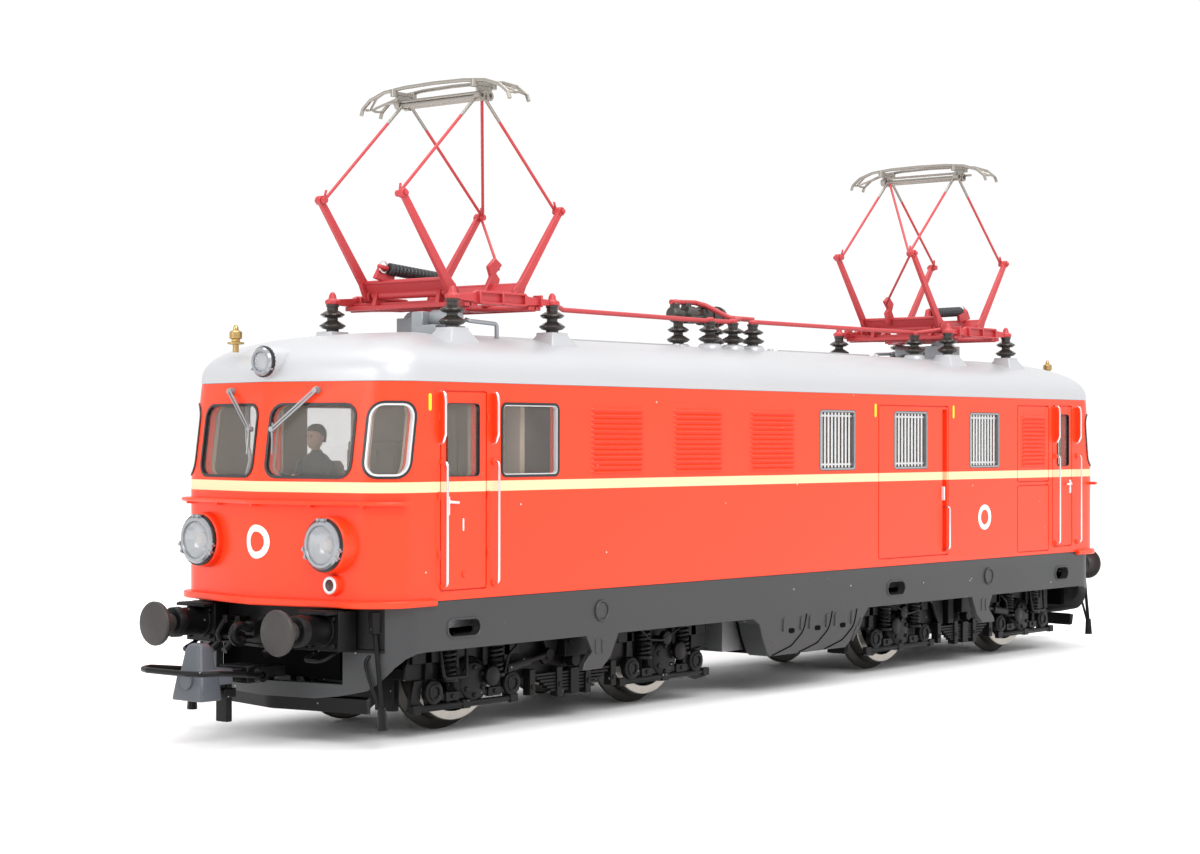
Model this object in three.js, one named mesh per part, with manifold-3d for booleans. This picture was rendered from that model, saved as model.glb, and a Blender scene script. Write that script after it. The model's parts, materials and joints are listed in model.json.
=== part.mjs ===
// Model electric locomotive, 1:87, two pantographs, two driven bogies.
// Millimetres. +X runs along the locomotive, -X is the end with the driver, +Z is up.
// The origin is on the rail plane (bottom of the wheel flanges), midway between the ends.
import * as THREE from 'three';
import { mergeVertices } from 'three/addons/utils/BufferGeometryUtils.js';
import Module from 'manifold-3d';

const wasm = await Module();
wasm.setup();

// Driving dimensions
const gap = 0.3;                    // clearance between separate pieces
const body = {
  halfWidth: 17, nose: 86.3, corner: 5, vee: 0.2, wall: 1.2,
  bottom: 15.9, belt: 29, gutter: 40.3, rake: 1.6,
};
const roof = { rise: 6.35, round: 2.3, flatEnd: 58, endRound: 2.6, wall: 1.2 };
const lip = { nose: 87.4, halfWidth: 17.6, corner: 6, low: 15.4, high: 16.2, doorX: 75.2 };
const sill = { nose: 85, halfWidth: 16.9, corner: 5, wall: 1.1, low: 10.3, ploughLow: 3.5 };
const chassis = { halfLength: 76, halfWidth: 14.4, low: 12.5, high: 18.8, wellTop: 17.7 };
const bogie = { centre: 46.35, halfBase: 18.05, axleZ: 8.57, sideInner: 11.3, sideOuter: 12.8 };
const wheel = { tread: 7.47, flange: 8.57, back: 7.2, flangeFront: 7.9, face: 10, axle: 1 };
const drive = { z: 20.6, motorR: 7.4, flywheelR: 6.4, shaftR: 0.9, wormR: 2.3, wormWheelR: 3.6 };
const panto = {
  centre: 55.85, baseZ: 51.35, pivotX: 5.7, armY: 6.85, kneeX: 14.05, kneeZ: 62.4,
  topX: 0.75, topZ: 75.15, insulatorX: 8.97, insulatorY: 9.95, padZ: 46.7,
};
const buffer = { faceX: 92.75, y: 10.06, z: 13.06, headR: 2.5, stemR: 1, sleeveR: 1.65 };
const coupler = { pivotX: 84.6, z: 7.8, loopPivotX: 88.1, headX: 94.8, loopX: 99.3, loopY: 5.7 };
const lamp = { y: 10.29, z: 22.29, r: 3.1, lensR: 2.3, front: 86.1, roofZ: 42.6, roofR: 1.75 };
const roofGear = { insulatorX: [-9.1, -3.8, 0.9], insulatorY: -6 };

// Materials
function finish(hex, roughness, metalness) {
  return new THREE.MeshStandardMaterial({ color: hex, roughness, metalness });
}
const paint = {
  red: finish(0xe8412a, 0.35, 0),
  silver: finish(0xc9c9ca, 0.4, 0.4),
  darkGrey: finish(0x4a4c4d, 0.6, 0),
  black: finish(0x161718, 0.6, 0),
  clear: finish(0xdfe6e8, 0.1, 0),
  casting: finish(0x6d7073, 0.5, 0.8),
  steel: finish(0xb9b6ae, 0.3, 1),
  brass: finish(0xb5893a, 0.3, 1),
  rodRed: finish(0xc1403f, 0.5, 0),
  carbonGrey: finish(0x77736b, 0.5, 0.6),
  board: finish(0x2f6b3c, 0.5, 0),
  cabBeige: finish(0xb9a888, 0.7, 0),
  uniform: finish(0x3f4a48, 0.8, 0),
};

// Solids
function toSolid(geometry) {
  const bare = new THREE.BufferGeometry();
  bare.setAttribute('position', geometry.getAttribute('position'));
  bare.setIndex(geometry.index);
  const merged = mergeVertices(bare, 1e-4);
  const index = merged.index.array;
  const kept = [];
  for (let i = 0; i < index.length; i += 3) {
    const [a, b, c] = [index[i], index[i + 1], index[i + 2]];
    if (a !== b && b !== c && c !== a) kept.push(a, b, c);
  }
  return new wasm.Manifold(new wasm.Mesh({
    numProp: 3,
    vertProperties: new Float32Array(merged.getAttribute('position').array),
    triVerts: new Uint32Array(kept),
  }));
}

function join(...solids) {
  return solids.reduce((sum, next) => sum.add(next));
}

function cut(solid, ...tools) {
  return tools.reduce((rest, tool) => rest.subtract(tool), solid);
}

function toMesh(name, solid, material) {
  const data = solid.getMesh();
  const geometry = new THREE.BufferGeometry();
  geometry.setAttribute('position', new THREE.BufferAttribute(new Float32Array(data.vertProperties), 3));
  geometry.setIndex(new THREE.BufferAttribute(new Uint32Array(data.triVerts), 1));
  geometry.computeVertexNormals();
  const mesh = new THREE.Mesh(geometry, material);
  mesh.name = name;
  return mesh;
}

function box(x0, x1, y0, y1, z0, z1) {
  const geometry = new THREE.BoxGeometry(x1 - x0, y1 - y0, z1 - z0);
  geometry.translate((x0 + x1) / 2, (y0 + y1) / 2, (z0 + z1) / 2);
  return toSolid(geometry);
}

function extrude(points, depth) {
  const shape = new THREE.Shape(points.map(([u, v]) => new THREE.Vector2(u, v)));
  return new THREE.ExtrudeGeometry(shape, { depth, bevelEnabled: false });
}

function prismZ(points, z0, z1) {
  return toSolid(indexed(extrude(points, z1 - z0).translate(0, 0, z0)));
}

// Outline in X and Z, running from y0 to y1
function prismY(points, y0, y1) {
  return toSolid(indexed(extrude(points, y1 - y0).rotateX(Math.PI / 2).translate(0, y1, 0)));
}

// Outline in Y and Z, running from x0 to x1
function prismX(points, x0, x1) {
  const turn = new THREE.Matrix4().makeBasis(
    new THREE.Vector3(0, 1, 0), new THREE.Vector3(0, 0, 1), new THREE.Vector3(1, 0, 0));
  return toSolid(indexed(extrude(points, x1 - x0).applyMatrix4(turn).translate(x0, 0, 0)));
}

function indexed(geometry) {
  if (!geometry.index) {
    const count = geometry.getAttribute('position').count;
    geometry.setIndex([...Array(count).keys()]);
  }
  return geometry;
}

// A turned piece: profile points are [radius, distance along the axis]
function turned(profile, axis, sides) {
  const points = profile.map(([r, along]) => new THREE.Vector2(r, along));
  const geometry = new THREE.LatheGeometry(points, sides);
  if (axis === 'x') geometry.rotateZ(-Math.PI / 2);
  if (axis === 'z') geometry.rotateX(Math.PI / 2);
  return toSolid(geometry);
}

function rod(from, to, radius, sides = 8) {
  const start = new THREE.Vector3(...from);
  const end = new THREE.Vector3(...to);
  const along = end.clone().sub(start);
  const geometry = new THREE.CylinderGeometry(radius, radius, along.length(), sides);
  const turn = new THREE.Quaternion().setFromUnitVectors(
    new THREE.Vector3(0, 1, 0), along.clone().normalize());
  geometry.applyQuaternion(turn);
  geometry.translate(...start.add(end).multiplyScalar(0.5).toArray());
  return toSolid(geometry);
}

// A bent wire through the points, its corners slightly rounded
function wire(points, radius, steps, sides = 5) {
  const path = new THREE.CatmullRomCurve3(points.map((p) => new THREE.Vector3(...p)), false,
    'catmullrom', 0.25);
  const section = new THREE.Shape();
  for (let i = 0; i < sides; i += 1) {
    const angle = (i / sides) * Math.PI * 2;
    section[i === 0 ? 'moveTo' : 'lineTo'](radius * Math.cos(angle), radius * Math.sin(angle));
  }
  return toSolid(indexed(new THREE.ExtrudeGeometry(section, { steps, extrudePath: path })));
}

// Plan outline shared by body, sill and roof: V-shaped ends with rounded corners
function planOutline(nose, halfWidth, corner, steps = 3) {
  const centreY = halfWidth - corner;
  const centreX = nose - body.vee * centreY - corner * Math.hypot(1, body.vee);
  const quarter = [[nose, 0]];
  const first = Math.atan(body.vee);
  for (let i = 0; i <= steps; i += 1) {
    const angle = first + (Math.PI / 2 - first) * (i / steps);
    quarter.push([centreX + corner * Math.cos(angle), centreY + corner * Math.sin(angle)]);
  }
  const rest = quarter.slice(1);
  return [
    ...quarter,
    ...quarter.slice().reverse().map(([x, y]) => [-x, y]),
    ...rest.map(([x, y]) => [-x, -y]),
    ...rest.slice().reverse().map(([x, y]) => [x, -y]),
  ];
}

// Stack of plan outlines, closed top and bottom
function loft(levels) {
  const count = levels[0].outline.length;
  const position = levels.flatMap(({ outline, z }) => outline.flatMap(([x, y]) => [x, y, z]));
  const index = [];
  for (let level = 0; level < levels.length - 1; level += 1) {
    for (let i = 0; i < count; i += 1) {
      const a = level * count + i;
      const b = level * count + (i + 1) % count;
      index.push(a, b, b + count, a, b + count, a + count);
    }
  }
  const flat = levels[0].outline.map(([x, y]) => new THREE.Vector2(x, y));
  const top = (levels.length - 1) * count;
  for (const [a, b, c] of THREE.ShapeUtils.triangulateShape(flat, [])) {
    index.push(a, c, b, top + a, top + b, top + c);
  }
  const geometry = new THREE.BufferGeometry();
  geometry.setAttribute('position', new THREE.Float32BufferAttribute(position, 3));
  geometry.setIndex(index);
  return toSolid(geometry);
}

// Nose position of the body side at a height: upright to the belt, raked back above it
function noseAt(z) {
  const above = Math.max(0, z - body.belt) / (body.gutter - body.belt);
  return body.nose - body.rake * above;
}

function bodyPrism(inset, z0, z1) {
  const heights = [z0, body.belt, z1].filter((z, i) => i !== 1 || (z > z0 && z < z1));
  return loft(heights.map((z) => ({
    z,
    outline: planOutline(noseAt(z) - inset, body.halfWidth - inset, body.corner - inset * 0.8),
  })));
}

function roundedWindow(u0, u1, v0, v1, radius, steps = 1) {
  const points = [];
  const corners = [[u1 - radius, v0 + radius, -90], [u1 - radius, v1 - radius, 0],
    [u0 + radius, v1 - radius, 90], [u0 + radius, v0 + radius, 180]];
  for (const [u, v, start] of corners) {
    for (let i = 0; i <= steps; i += 1) {
      const angle = THREE.MathUtils.degToRad(start + 90 * (i / steps));
      points.push([u + radius * Math.cos(angle), v + radius * Math.sin(angle)]);
    }
  }
  return points;
}

const bothEnds = (solid) => [solid, solid.rotate([0, 0, 180])];
const bothSides = (solid) => [solid, solid.mirror([0, 1, 0])];

// Body shell: red sides and ends with every window cut through
const sideWindows = [
  [-73.3, -67.9, 1], [-63.9, -54.05, 0.6], [1.3, 10.1, 0.6], [20.3, 29.3, 0.6],
  [41.5, 50.3, 0.6], [68.8, 72.5, 0.6],
];
const windowLow = 29.75;
const windowHigh = 37.95;

function windscreenHole() {
  const outline = roundedWindow(1.15, 12.2, windowLow, 37.7, 1.4);
  return prismX(outline, -90, -80);
}

function cornerWindowHole() {
  const chord = { x: -80.75, y: -15.4, halfWidth: 2.65, angle: 36 };
  const outline = roundedWindow(-chord.halfWidth, chord.halfWidth, windowLow, windowHigh, 1.2);
  const hole = prismY(outline, -3, 3);
  return hole.rotate([0, 0, -chord.angle]).translate([chord.x, chord.y, 0]);
}

function bodyShell() {
  const outer = bodyPrism(0, body.bottom, body.gutter);
  const inner = bodyPrism(body.wall, body.bottom - 1, body.gutter + 1);
  const flange = planOutline(lip.nose, lip.halfWidth, lip.corner);
  const middle = box(-lip.doorX, lip.doorX, -30, 30, 0, 30);
  const flangeRing = cut(prismZ(flange, lip.low, lip.high), middle);
  const lampBowls = bothEnds(prismXCircle(-lamp.front + 0.5, -80, lamp.y, lamp.z, lamp.r)
    .add(prismXCircle(-lamp.front + 0.5, -80, -lamp.y, lamp.z, lamp.r)));
  const solid = join(outer, flangeRing, ...lampBowls);
  const lensHoles = bothEnds(prismXCircle(-90, -78, lamp.y, lamp.z, lamp.lensR + gap)
    .add(prismXCircle(-90, -78, -lamp.y, lamp.z, lamp.lensR + gap)));
  const sideHoles = sideWindows.map(([x0, x1, radius]) =>
    prismY(roundedWindow(x0, x1, windowLow, windowHigh, radius), -20, 20));
  const screens = bothSides(windscreenHole()).flatMap(bothEnds);
  const corners = bothSides(cornerWindowHole()).flatMap(bothEnds);
  return cut(solid, inner, ...sideHoles, ...screens, ...corners, ...lensHoles);
}

function prismXCircle(x0, x1, y, z, radius, sides = 8) {
  return rod([x0, y, z], [x1, y, z], radius, sides);
}

// Roof shell: a domed cover with lamp housings and the pads under the insulators
function roofLevel(rise, inset) {
  const width = (body.halfWidth - inset) * (1 - rise ** roof.round) ** (1 / roof.round);
  const reach = noseAt(body.gutter) - inset - roof.flatEnd;
  const nose = roof.flatEnd + reach * (1 - rise ** roof.endRound) ** (1 / roof.endRound);
  return planOutline(nose, width, body.corner * 0.96 * (width / body.halfWidth));
}

function roofDome(inset, floorZ) {
  const steps = 6;
  const levels = [{ z: floorZ, outline: roofLevel(0, inset) }];
  for (let i = 1; i <= steps; i += 1) {
    const rise = Math.sin((i / steps) * Math.PI * 0.485);
    const z = body.gutter + (roof.rise - inset) * rise;
    levels.push({ z, outline: roofLevel(rise, inset) });
  }
  return loft(levels);
}

function roofShell() {
  const base = body.gutter + gap;
  const dome = roofDome(0, base);
  const housings = bothEnds(prismXCircle(-85.1, -78, 0, lamp.roofZ, lamp.roofR));
  const bores = bothEnds(prismXCircle(-90, -77, 0, lamp.roofZ, 1.1));
  const pads = [];
  for (const end of [-1, 1]) {
    for (const dx of [-panto.insulatorX, panto.insulatorX]) {
      for (const side of [-1, 1]) {
        const x = end * panto.centre + dx;
        const y = side * panto.insulatorY;
        pads.push(box(x - 2, x + 2, y - 1.7, y + 1.7, 44.4, panto.padZ));
      }
    }
  }
  for (const x of roofGear.insulatorX) {
    pads.push(box(x - 1.6, x + 1.6, roofGear.insulatorY - 1.5, roofGear.insulatorY + 1.5, 45, 46.6));
  }
  const outer = join(dome, ...housings, ...pads).subtract(box(-100, 100, -30, 30, 30, base));
  return cut(outer, roofDome(roof.wall, base - 1), ...bores);
}

// Clear pieces behind the windows
function cabGlazing() {
  const outer = bodyPrism(body.wall + gap, 29.2, 38.6);
  const inner = bodyPrism(body.wall + gap + 0.6, 28, 39);
  return cut(outer, inner, box(-53.5, 100, -30, 30, 20, 45));
}

function sideGlazing() {
  const y = body.halfWidth - body.wall - gap;
  return box(0, 51.6, y - 0.6, y, 29.2, 38.6);
}

// Sill frame: the dark skirt with aprons, brackets, side boxes and buffer sleeves
function sillFrame() {
  const top = 15.1;
  const outer = prismZ(planOutline(sill.nose, sill.halfWidth, sill.corner), sill.ploughLow, top);
  const inner = prismZ(
    planOutline(sill.nose - sill.wall, sill.halfWidth - sill.wall, sill.corner - 1), 0, top + 1);
  const underSides = prismY([[-77.4, sill.low], [-79.8, 9.7], [-82.1, 6.6], [-83.8, 5], [-84, 0],
    [84, 0], [83.8, 5], [82.1, 6.6], [79.8, 9.7], [77.4, sill.low]], -30, 30);
  const ploughs = bothEnds(cut(
    prismZ(planOutline(sill.nose, sill.halfWidth, sill.corner), sill.ploughLow, 6.8),
    prismZ(planOutline(sill.nose - 1.4, sill.halfWidth - 1.4, sill.corner - 1), 0, 20),
    box(-79.5, 100, -30, 30, 0, 20)));
  const mouths = bothEnds(box(-90, -80, -10.4, 10.4, 6.8, 10.4));
  const slots = [[-72.8, -67.6], [18.8, 23.3], [68.5, 72.5]].map(([x0, x1]) =>
    prismY(roundedWindow(x0, x1, 11.7, 13.6, 0.8), -30, 30));
  const bracket = [[-48.3, 10.6], [-47.2, 8], [-49.2, 6.2], [-45.5, 6.2], [-43.8, 7.3], [-42.2, 10.6]];
  const farBracket = bracket.map(([x, z]) => [-x, z]);
  const boxOutline = [[-14.3, 10.6], [-12.7, 9.5], [-11.8, 7.4], [-10.8, 5.3], [8.2, 5.1],
    [12.8, 9.3], [14, 10.6]];
  const sideWall = sill.halfWidth - sill.wall;
  const hung = [bracket, farBracket].flatMap((outline) =>
    bothSides(prismY(outline, sideWall, sill.halfWidth)));
  const sideBoxes = bothSides(prismY(boxOutline, 13.4, sill.halfWidth));
  const discs = [-45.7, 47.3].flatMap((x) =>
    bothSides(rod([x, sideWall, 13.2], [x, sill.halfWidth + 0.25, 13.2], 1.3, 12)));
  const sleeves = [-1, 1].flatMap((side) => bothEnds(
    prismXCircle(-89.7, -83, side * buffer.y, buffer.z, buffer.sleeveR)
      .add(box(-85.4, -82.5, side * buffer.y - 2.4, side * buffer.y + 2.4, 10.6, top))));
  const bores = [-1, 1].flatMap((side) =>
    bothEnds(prismXCircle(-95, -85.6, side * buffer.y, buffer.z, buffer.stemR + gap)));
  const ring = cut(outer, inner, underSides, ...slots);
  return cut(join(ring, ...ploughs, ...hung, ...sideBoxes, ...discs, ...sleeves), ...mouths, ...bores);
}

function bufferPlunger() {
  return turned([[0, 0], [2.1, 0], [buffer.headR, 0.25], [buffer.headR, 0.7], [buffer.stemR, 1.1],
    [buffer.stemR, 5.6], [0, 5.6]], 'x', 16);
}

// Chassis block: die-cast floor with wells for the motor, the bogie towers and the wheels
function chassisBlock() {
  const plate = box(-chassis.halfLength, chassis.halfLength, -chassis.halfWidth, chassis.halfWidth,
    chassis.low, chassis.high);
  const ballast = box(-15.2, 15.2, -12.6, 12.6, 5.8, chassis.low + 1);
  const motorWell = box(-24, 24, -8, 8, drive.z - drive.motorR - gap, 30);
  const towers = [-1, 1].map((end) =>
    box(end * bogie.centre - 14, end * bogie.centre + 14, -8.5, 8.5, 0, 30));
  const buffers = [-1, 1].flatMap((side) => bothEnds(
    box(-90, -74, side * buffer.y - 3, side * buffer.y + 3, 10, 15.6)));
  const wheelWells = [-1, 1].flatMap((end) => [-1, 1].map((axle) => {
    const x = end * bogie.centre + axle * bogie.halfBase;
    return box(x - 10.4, x + 10.4, -13.4, 13.4, 0, chassis.wellTop);
  }));
  return cut(plate.add(ballast), motorWell, ...towers, ...buffers, ...wheelWells);
}

function motorHousing() {
  const r = drive.motorR;
  const half = 11;
  const can = turned([[0, -half], [r, -half], [r, half], [0, half]], 'x', 20);
  const flats = box(-half, half, -r, r, -6.6, 6.6);
  const hollow = turned([[0, -9], [5.6, -9], [5.6, 9], [0, 9]], 'x', 12);
  const bore = turned([[0, -20], [1.4, -20], [1.4, 20], [0, 20]], 'x', 12);
  return cut(can.intersect(flats), hollow, bore);
}

function motorRotor() {
  const { flywheelR, shaftR } = drive;
  const half = [[5.1, 7.5], [shaftR, 8], [shaftR, 12.5], [flywheelR, 12.5], [flywheelR, 20.5],
    [2, 20.5], [2, 22]];
  const mirrored = half.slice().reverse().map(([r, x]) => [r, -x]);
  return turned([[0, -22], ...mirrored, ...half, [0, 22]], 'x', 12);
}

function cardanShaft() {
  return turned([[0, 22.3], [0.9, 22.3], [0.9, 34.6], [1.5, 35], [1.5, 36.4], [0, 36.8]], 'x', 10);
}

// Bogie pieces, about the bogie's own centre; the outer end is -X
function gearCase() {
  const block = join(box(-25, 25, -5.6, 5.6, 5.3, 13.2), box(-9, 9, -5.6, 5.6, 11, 24.4));
  const channel = join(box(-23, 23, -3.2, 3.2, 0, 12.1), box(-7.5, 7.5, -3.2, 3.2, 0, 23.2));
  const wormWay = box(-30, 30, -2.8, 2.8, drive.z - 2.8, drive.z + 2.6);
  const axleSlots = [-1, 1].map((end) => join(
    rod([end * bogie.halfBase, -20, bogie.axleZ], [end * bogie.halfBase, 20, bogie.axleZ],
      wheel.axle + gap, 12),
    box(end * bogie.halfBase - wheel.axle - gap, end * bogie.halfBase + wheel.axle + gap,
      -20, 20, 0, bogie.axleZ)));
  return cut(block, channel, wormWay, ...axleSlots);
}

function keeperPlate() {
  const plate = box(-25, 25, -5.6, 5.6, 3.7, 5);
  const lugs = [-1, 1].map((end) => box(end * 5 - 1, end * 5 + 1, -2.6, 2.6, 4.5, 6.6));
  return join(plate, ...lugs);
}

function bogieSides() {
  const { sideInner, sideOuter, halfBase } = bogie;
  const outline = [[-28.6, 6], [-26, 9.2], [-8, 9.2], [-5, 8.4], [5, 8.4], [8, 9.2], [26, 9.2],
    [28.6, 6], [28.6, 4.4], [22, 4.4], [13, 4.4], [9, 3], [-9, 3], [-13, 4.4], [-28.6, 4.4]];
  const plate = prismY(outline, sideInner, sideOuter);
  const details = [];
  for (const end of [-1, 1]) {
    const axle = end * halfBase;
    details.push(rod([axle, sideOuter - 0.5, 6.6], [axle, 14.6, 6.6], 1.7, 8));
    for (const offset of [-4.3, 4.3]) {
      details.push(rod([axle + offset, 12.9, 5.6], [axle + offset, 12.9, 9.7], 1.15, 6));
    }
    details.push(box(axle - 8, axle + 8, 12.4, 13.2, 3, 3.7));
    details.push(box(axle - 6.4, axle - 5.2, 12.2, 13, 3.4, 4.8));
    details.push(box(axle + 5.2, axle + 6.4, 12.2, 13, 3.4, 4.8));
  }
  const half = join(plate, ...details);
  const beams = [-1, 1].map((end) => {
    const [near, far] = [end * 27.3, end * 28.6].sort((a, b) => a - b);
    return box(near, far, -sideInner - 0.5, sideInner + 0.5, 4.4, 6);
  });
  return join(half, half.mirror([0, 1, 0]), ...beams);
}

function wheelset() {
  const { tread, flange, back, flangeFront, face, axle } = wheel;
  const half = [[axle, back], [flange, back + 0.1], [flange, flangeFront - 0.2],
    [tread, flangeFront + 0.15], [tread - 0.1, face], [axle, face], [axle, 11], [0, 11]];
  const mirrored = half.slice().reverse().map(([r, y]) => [r, -y]);
  const gear = [[axle, -1.6], [3.1, -1.6], [3.1, 1.6], [axle, 1.6]];
  return turned([...mirrored, ...gear, ...half], 'y', 16);
}

function wormShaft() {
  return turned([[0, -6.6], [1, -6.6], [1, -4.5], [drive.wormR, -4.3], [drive.wormR, 4.3], [1, 4.5],
    [1, 6.6], [0, 6.6]], 'x', 12);
}

function wormWheel() {
  return turned([[0, -2.5], [1.1, -2.5], [1.1, -1.5], [drive.wormWheelR, -1.5],
    [drive.wormWheelR, 1.5], [1.1, 1.5], [1.1, 2.5], [0, 2.5]], 'y', 16);
}

// Pantograph pieces, about the pantograph's own centre; "outer" is the -X side
function insulator(x, y) {
  const profile = [[0, 0], [0.9, 0], [1.95, 0.7], [0.8, 1.5], [1.85, 2], [0.8, 2.7], [0.8, 3.4],
    [0, 3.4]];
  return turned(profile, 'z', 6).translate([x, y, panto.padZ + gap]);
}

function pantographBase() {
  const pieces = [];
  const { insulatorX, insulatorY, pivotX, armY, baseZ } = panto;
  for (const side of [-1, 1]) {
    const y = side * insulatorY;
    pieces.push(box(-insulatorX - 0.9, insulatorX + 0.9, y - 0.8, y + 0.8, 50.1, 51));
    for (const end of [-1, 1]) {
      pieces.push(insulator(end * insulatorX, y));
      const lug = end * pivotX;
      const inner = side * (armY - 1.6);
      pieces.push(box(lug - 0.8, lug + 0.8, inner - 0.4, inner + 0.4, 50.1, 52));
    }
  }
  for (const end of [-1, 1]) {
    const x = end * pivotX;
    pieces.push(box(x - 1.2, x + 1.2, -insulatorY, insulatorY, 49.3, 50.2));
    pieces.push(rod([x, -armY + 0.9, baseZ], [x, armY - 0.9, baseZ], 0.5));
  }
  pieces.push(box(-pivotX, pivotX, -1.2, 1.2, 49.3, 50.2));
  return join(...pieces);
}

// One pair of lower arms; side is -1 for the outer pair and +1 for the inner pair
function lowerArms(side) {
  const { pivotX, kneeX, kneeZ, baseZ, armY } = panto;
  const arm = prismY([[side * (pivotX - 0.9), baseZ - 0.1], [side * (pivotX + 0.9), baseZ - 0.6],
    [side * (kneeX + 0.55), kneeZ - 0.3], [side * (kneeX + 0.2), kneeZ + 0.6],
    [side * (kneeX - 0.45), kneeZ + 0.3]], armY - 0.4, armY + 0.4);
  const along = new THREE.Vector2(kneeX - pivotX, kneeZ - baseZ).normalize();
  const plate = (from, to, thick) => prismY([
    [side * (pivotX + along.x * from - along.y * thick), baseZ + along.y * from + along.x * thick],
    [side * (pivotX + along.x * to - along.y * thick), baseZ + along.y * to + along.x * thick],
    [side * (pivotX + along.x * to + along.y * thick), baseZ + along.y * to - along.x * thick],
    [side * (pivotX + along.x * from + along.y * thick), baseZ + along.y * from - along.x * thick],
  ], -armY, armY);
  return join(arm, arm.mirror([0, 1, 0]), plate(1.35, 2.6, 0.25));
}

// One pair of upper arms with its cross tube; the inner pair also has a diagonal brace
function upperArms(side, braced) {
  const { kneeX, kneeZ, topX, topZ, armY } = panto;
  const inside = armY - 0.75;
  const pieces = [rod([side * topX, -armY, topZ], [side * topX, armY, topZ], 0.32)];
  for (const y of [-inside, inside]) {
    pieces.push(rod([side * kneeX, y, kneeZ], [side * topX, y, topZ], 0.3));
  }
  if (braced) {
    pieces.push(rod([side * kneeX, inside, kneeZ], [side * topX, -inside, topZ], 0.25));
  }
  return join(...pieces);
}

function pantographHead() {
  const z = 76.35;
  const strips = [-1.7, 1.7].map((x) => wire([[x, -13.2, 74.2], [x, -11.8, 75.6],
    [x, -9.2, 76.7], [x, 0, 77.3], [x, 9.2, 76.7], [x, 11.8, 75.6], [x, 13.2, 74.2]], 0.3, 12));
  const ties = [-6.7, 6.7].map((y) => box(-1.9, 1.9, y - 0.5, y + 0.5, z - 0.3, 77));
  return join(...strips, ...ties);
}

function pantographSpring() {
  return rod([-6.4, 3.2, 54.5], [3.4, 3.2, 53.8], 0.85, 10);
}

// Coupler: drawbar with head, and the loop that lifts over the mating hook
function couplerHead() {
  const { pivotX, z, headX } = coupler;
  const bar = box(-headX, -pivotX + 1.6, -1.5, 1.5, z - 0.6, z + 0.8);
  const head = loft([
    { z: 5.4, outline: [[-headX - 1.6, -2.5], [-headX + 1.6, -2.3], [-headX + 1.6, 2.3],
      [-headX - 1.6, 2.5]] },
    { z: 8.4, outline: [[-headX - 1.4, -2], [-headX + 1.5, -2], [-headX + 1.5, 2],
      [-headX - 1.4, 2]] },
    { z: 11.5, outline: [[-headX - 0.7, -1.2], [-headX + 1.1, -1.2], [-headX + 1.1, 1.2],
      [-headX - 0.7, 1.2]] },
  ]);
  return join(bar, head);
}

function couplerLoop() {
  const { loopPivotX, loopX, loopY, z } = coupler;
  const side = [[-loopPivotX, 2.5, z], [-loopPivotX - 2.6, 4.2, z + 0.3],
    [-loopX + 1.6, loopY, z + 0.9], [-loopX + 0.35, loopY - 1.2, z + 0.9]];
  const other = side.map(([x, y, h]) => [x, -y, h]).reverse();
  const bow = wire([...side, ...other], 0.34, 14);
  const eyes = [-1, 1].map((s) =>
    rod([-loopPivotX, s * 1.85, z], [-loopPivotX, s * 2.85, z], 0.8, 10));
  return join(bow, ...eyes);
}

// Clear light guide: headlamp posts, a cross bar and a riser to the roof lamp
function lightGuide() {
  const back = 80.4;
  const posts = [-1, 1].map((side) =>
    prismXCircle(-lamp.front, -back, side * lamp.y, lamp.z, lamp.lensR));
  const bar = box(-back - 1, -back, -lamp.y, lamp.y, lamp.z - 0.8, lamp.z + 0.8);
  const riser = rod([-back - 0.6, 0, lamp.z], [-back - 0.6, 0, lamp.roofZ], 0.4);
  const roofLens = prismXCircle(-85.3, -back, 0, lamp.roofZ, 0.8, 10);
  return join(...posts, bar, riser, roofLens);
}

function cabInterior() {
  const floor = box(-79, -56.5, -13.6, 13.6, 19.3, 20.3);
  const desk = box(-79.2, -76, -13, 13, 20, 28.2);
  const bulkhead = box(-57.5, -56.5, -13.6, 13.6, 20, 39);
  const seat = box(-71, -67.5, 5.4, 9.6, 20, 25);
  return join(floor, desk, bulkhead, seat);
}

function driverFigure() {
  const torso = loft([
    { z: 25.3, outline: [[-71.5, 5.4], [-68, 5.4], [-68, 9.6], [-71.5, 9.6]] },
    { z: 31, outline: [[-71, 5.2], [-68.6, 5.2], [-68.6, 9.8], [-71, 9.8]] },
    { z: 32.4, outline: [[-70.3, 6.8], [-69.2, 6.8], [-69.2, 8.2], [-70.3, 8.2]] },
  ]);
  const head = toSolid(new THREE.SphereGeometry(1.35, 10, 8).translate(-69.8, 7.5, 33.6));
  const arms = [5.6, 9.4].map((y) => rod([-70, y, 30], [-74.4, y - 0.6, 28], 0.6));
  return join(torso, head, ...arms);
}

// Roof equipment
function roofInsulator(x, y, low) {
  return turned([[0, 0], [1, 0], [1.9, 0.6], [0.8, 1.4], [1.7, 2], [0.8, 2.6], [0.8, 3.2],
    [0, 3.2]], 'z', 6).translate([x, y, low]);
}

function mainBreaker() {
  const low = 47.2;
  const posts = [-6.4, 2].map((x) => roofInsulator(x, 1.5, low));
  const barrel = rod([-7.8, 1.5, 51.2], [3.6, 1.5, 51.2], 1.2, 12);
  const foot = box(-9, 4.5, 0, 3, low - 0.4, low + 0.3);
  return join(...posts, barrel, foot);
}

function roofBusbar(points, insulatorXs) {
  const insulators = insulatorXs.map((x) =>
    roofInsulator(x, roofGear.insulatorY, 46.9).add(box(x - 0.5, x + 0.5, -6.5, -5.5, 49.6, 50.55)));
  return join(wire(points, 0.33, 6), ...insulators);
}

function whistle() {
  return turned([[0, 0], [0.35, 0], [0.35, 0.5], [0.9, 0.7], [0.6, 1], [0.6, 2.2], [0.2, 2.7],
    [0, 2.7]], 'z', 10);
}

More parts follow.
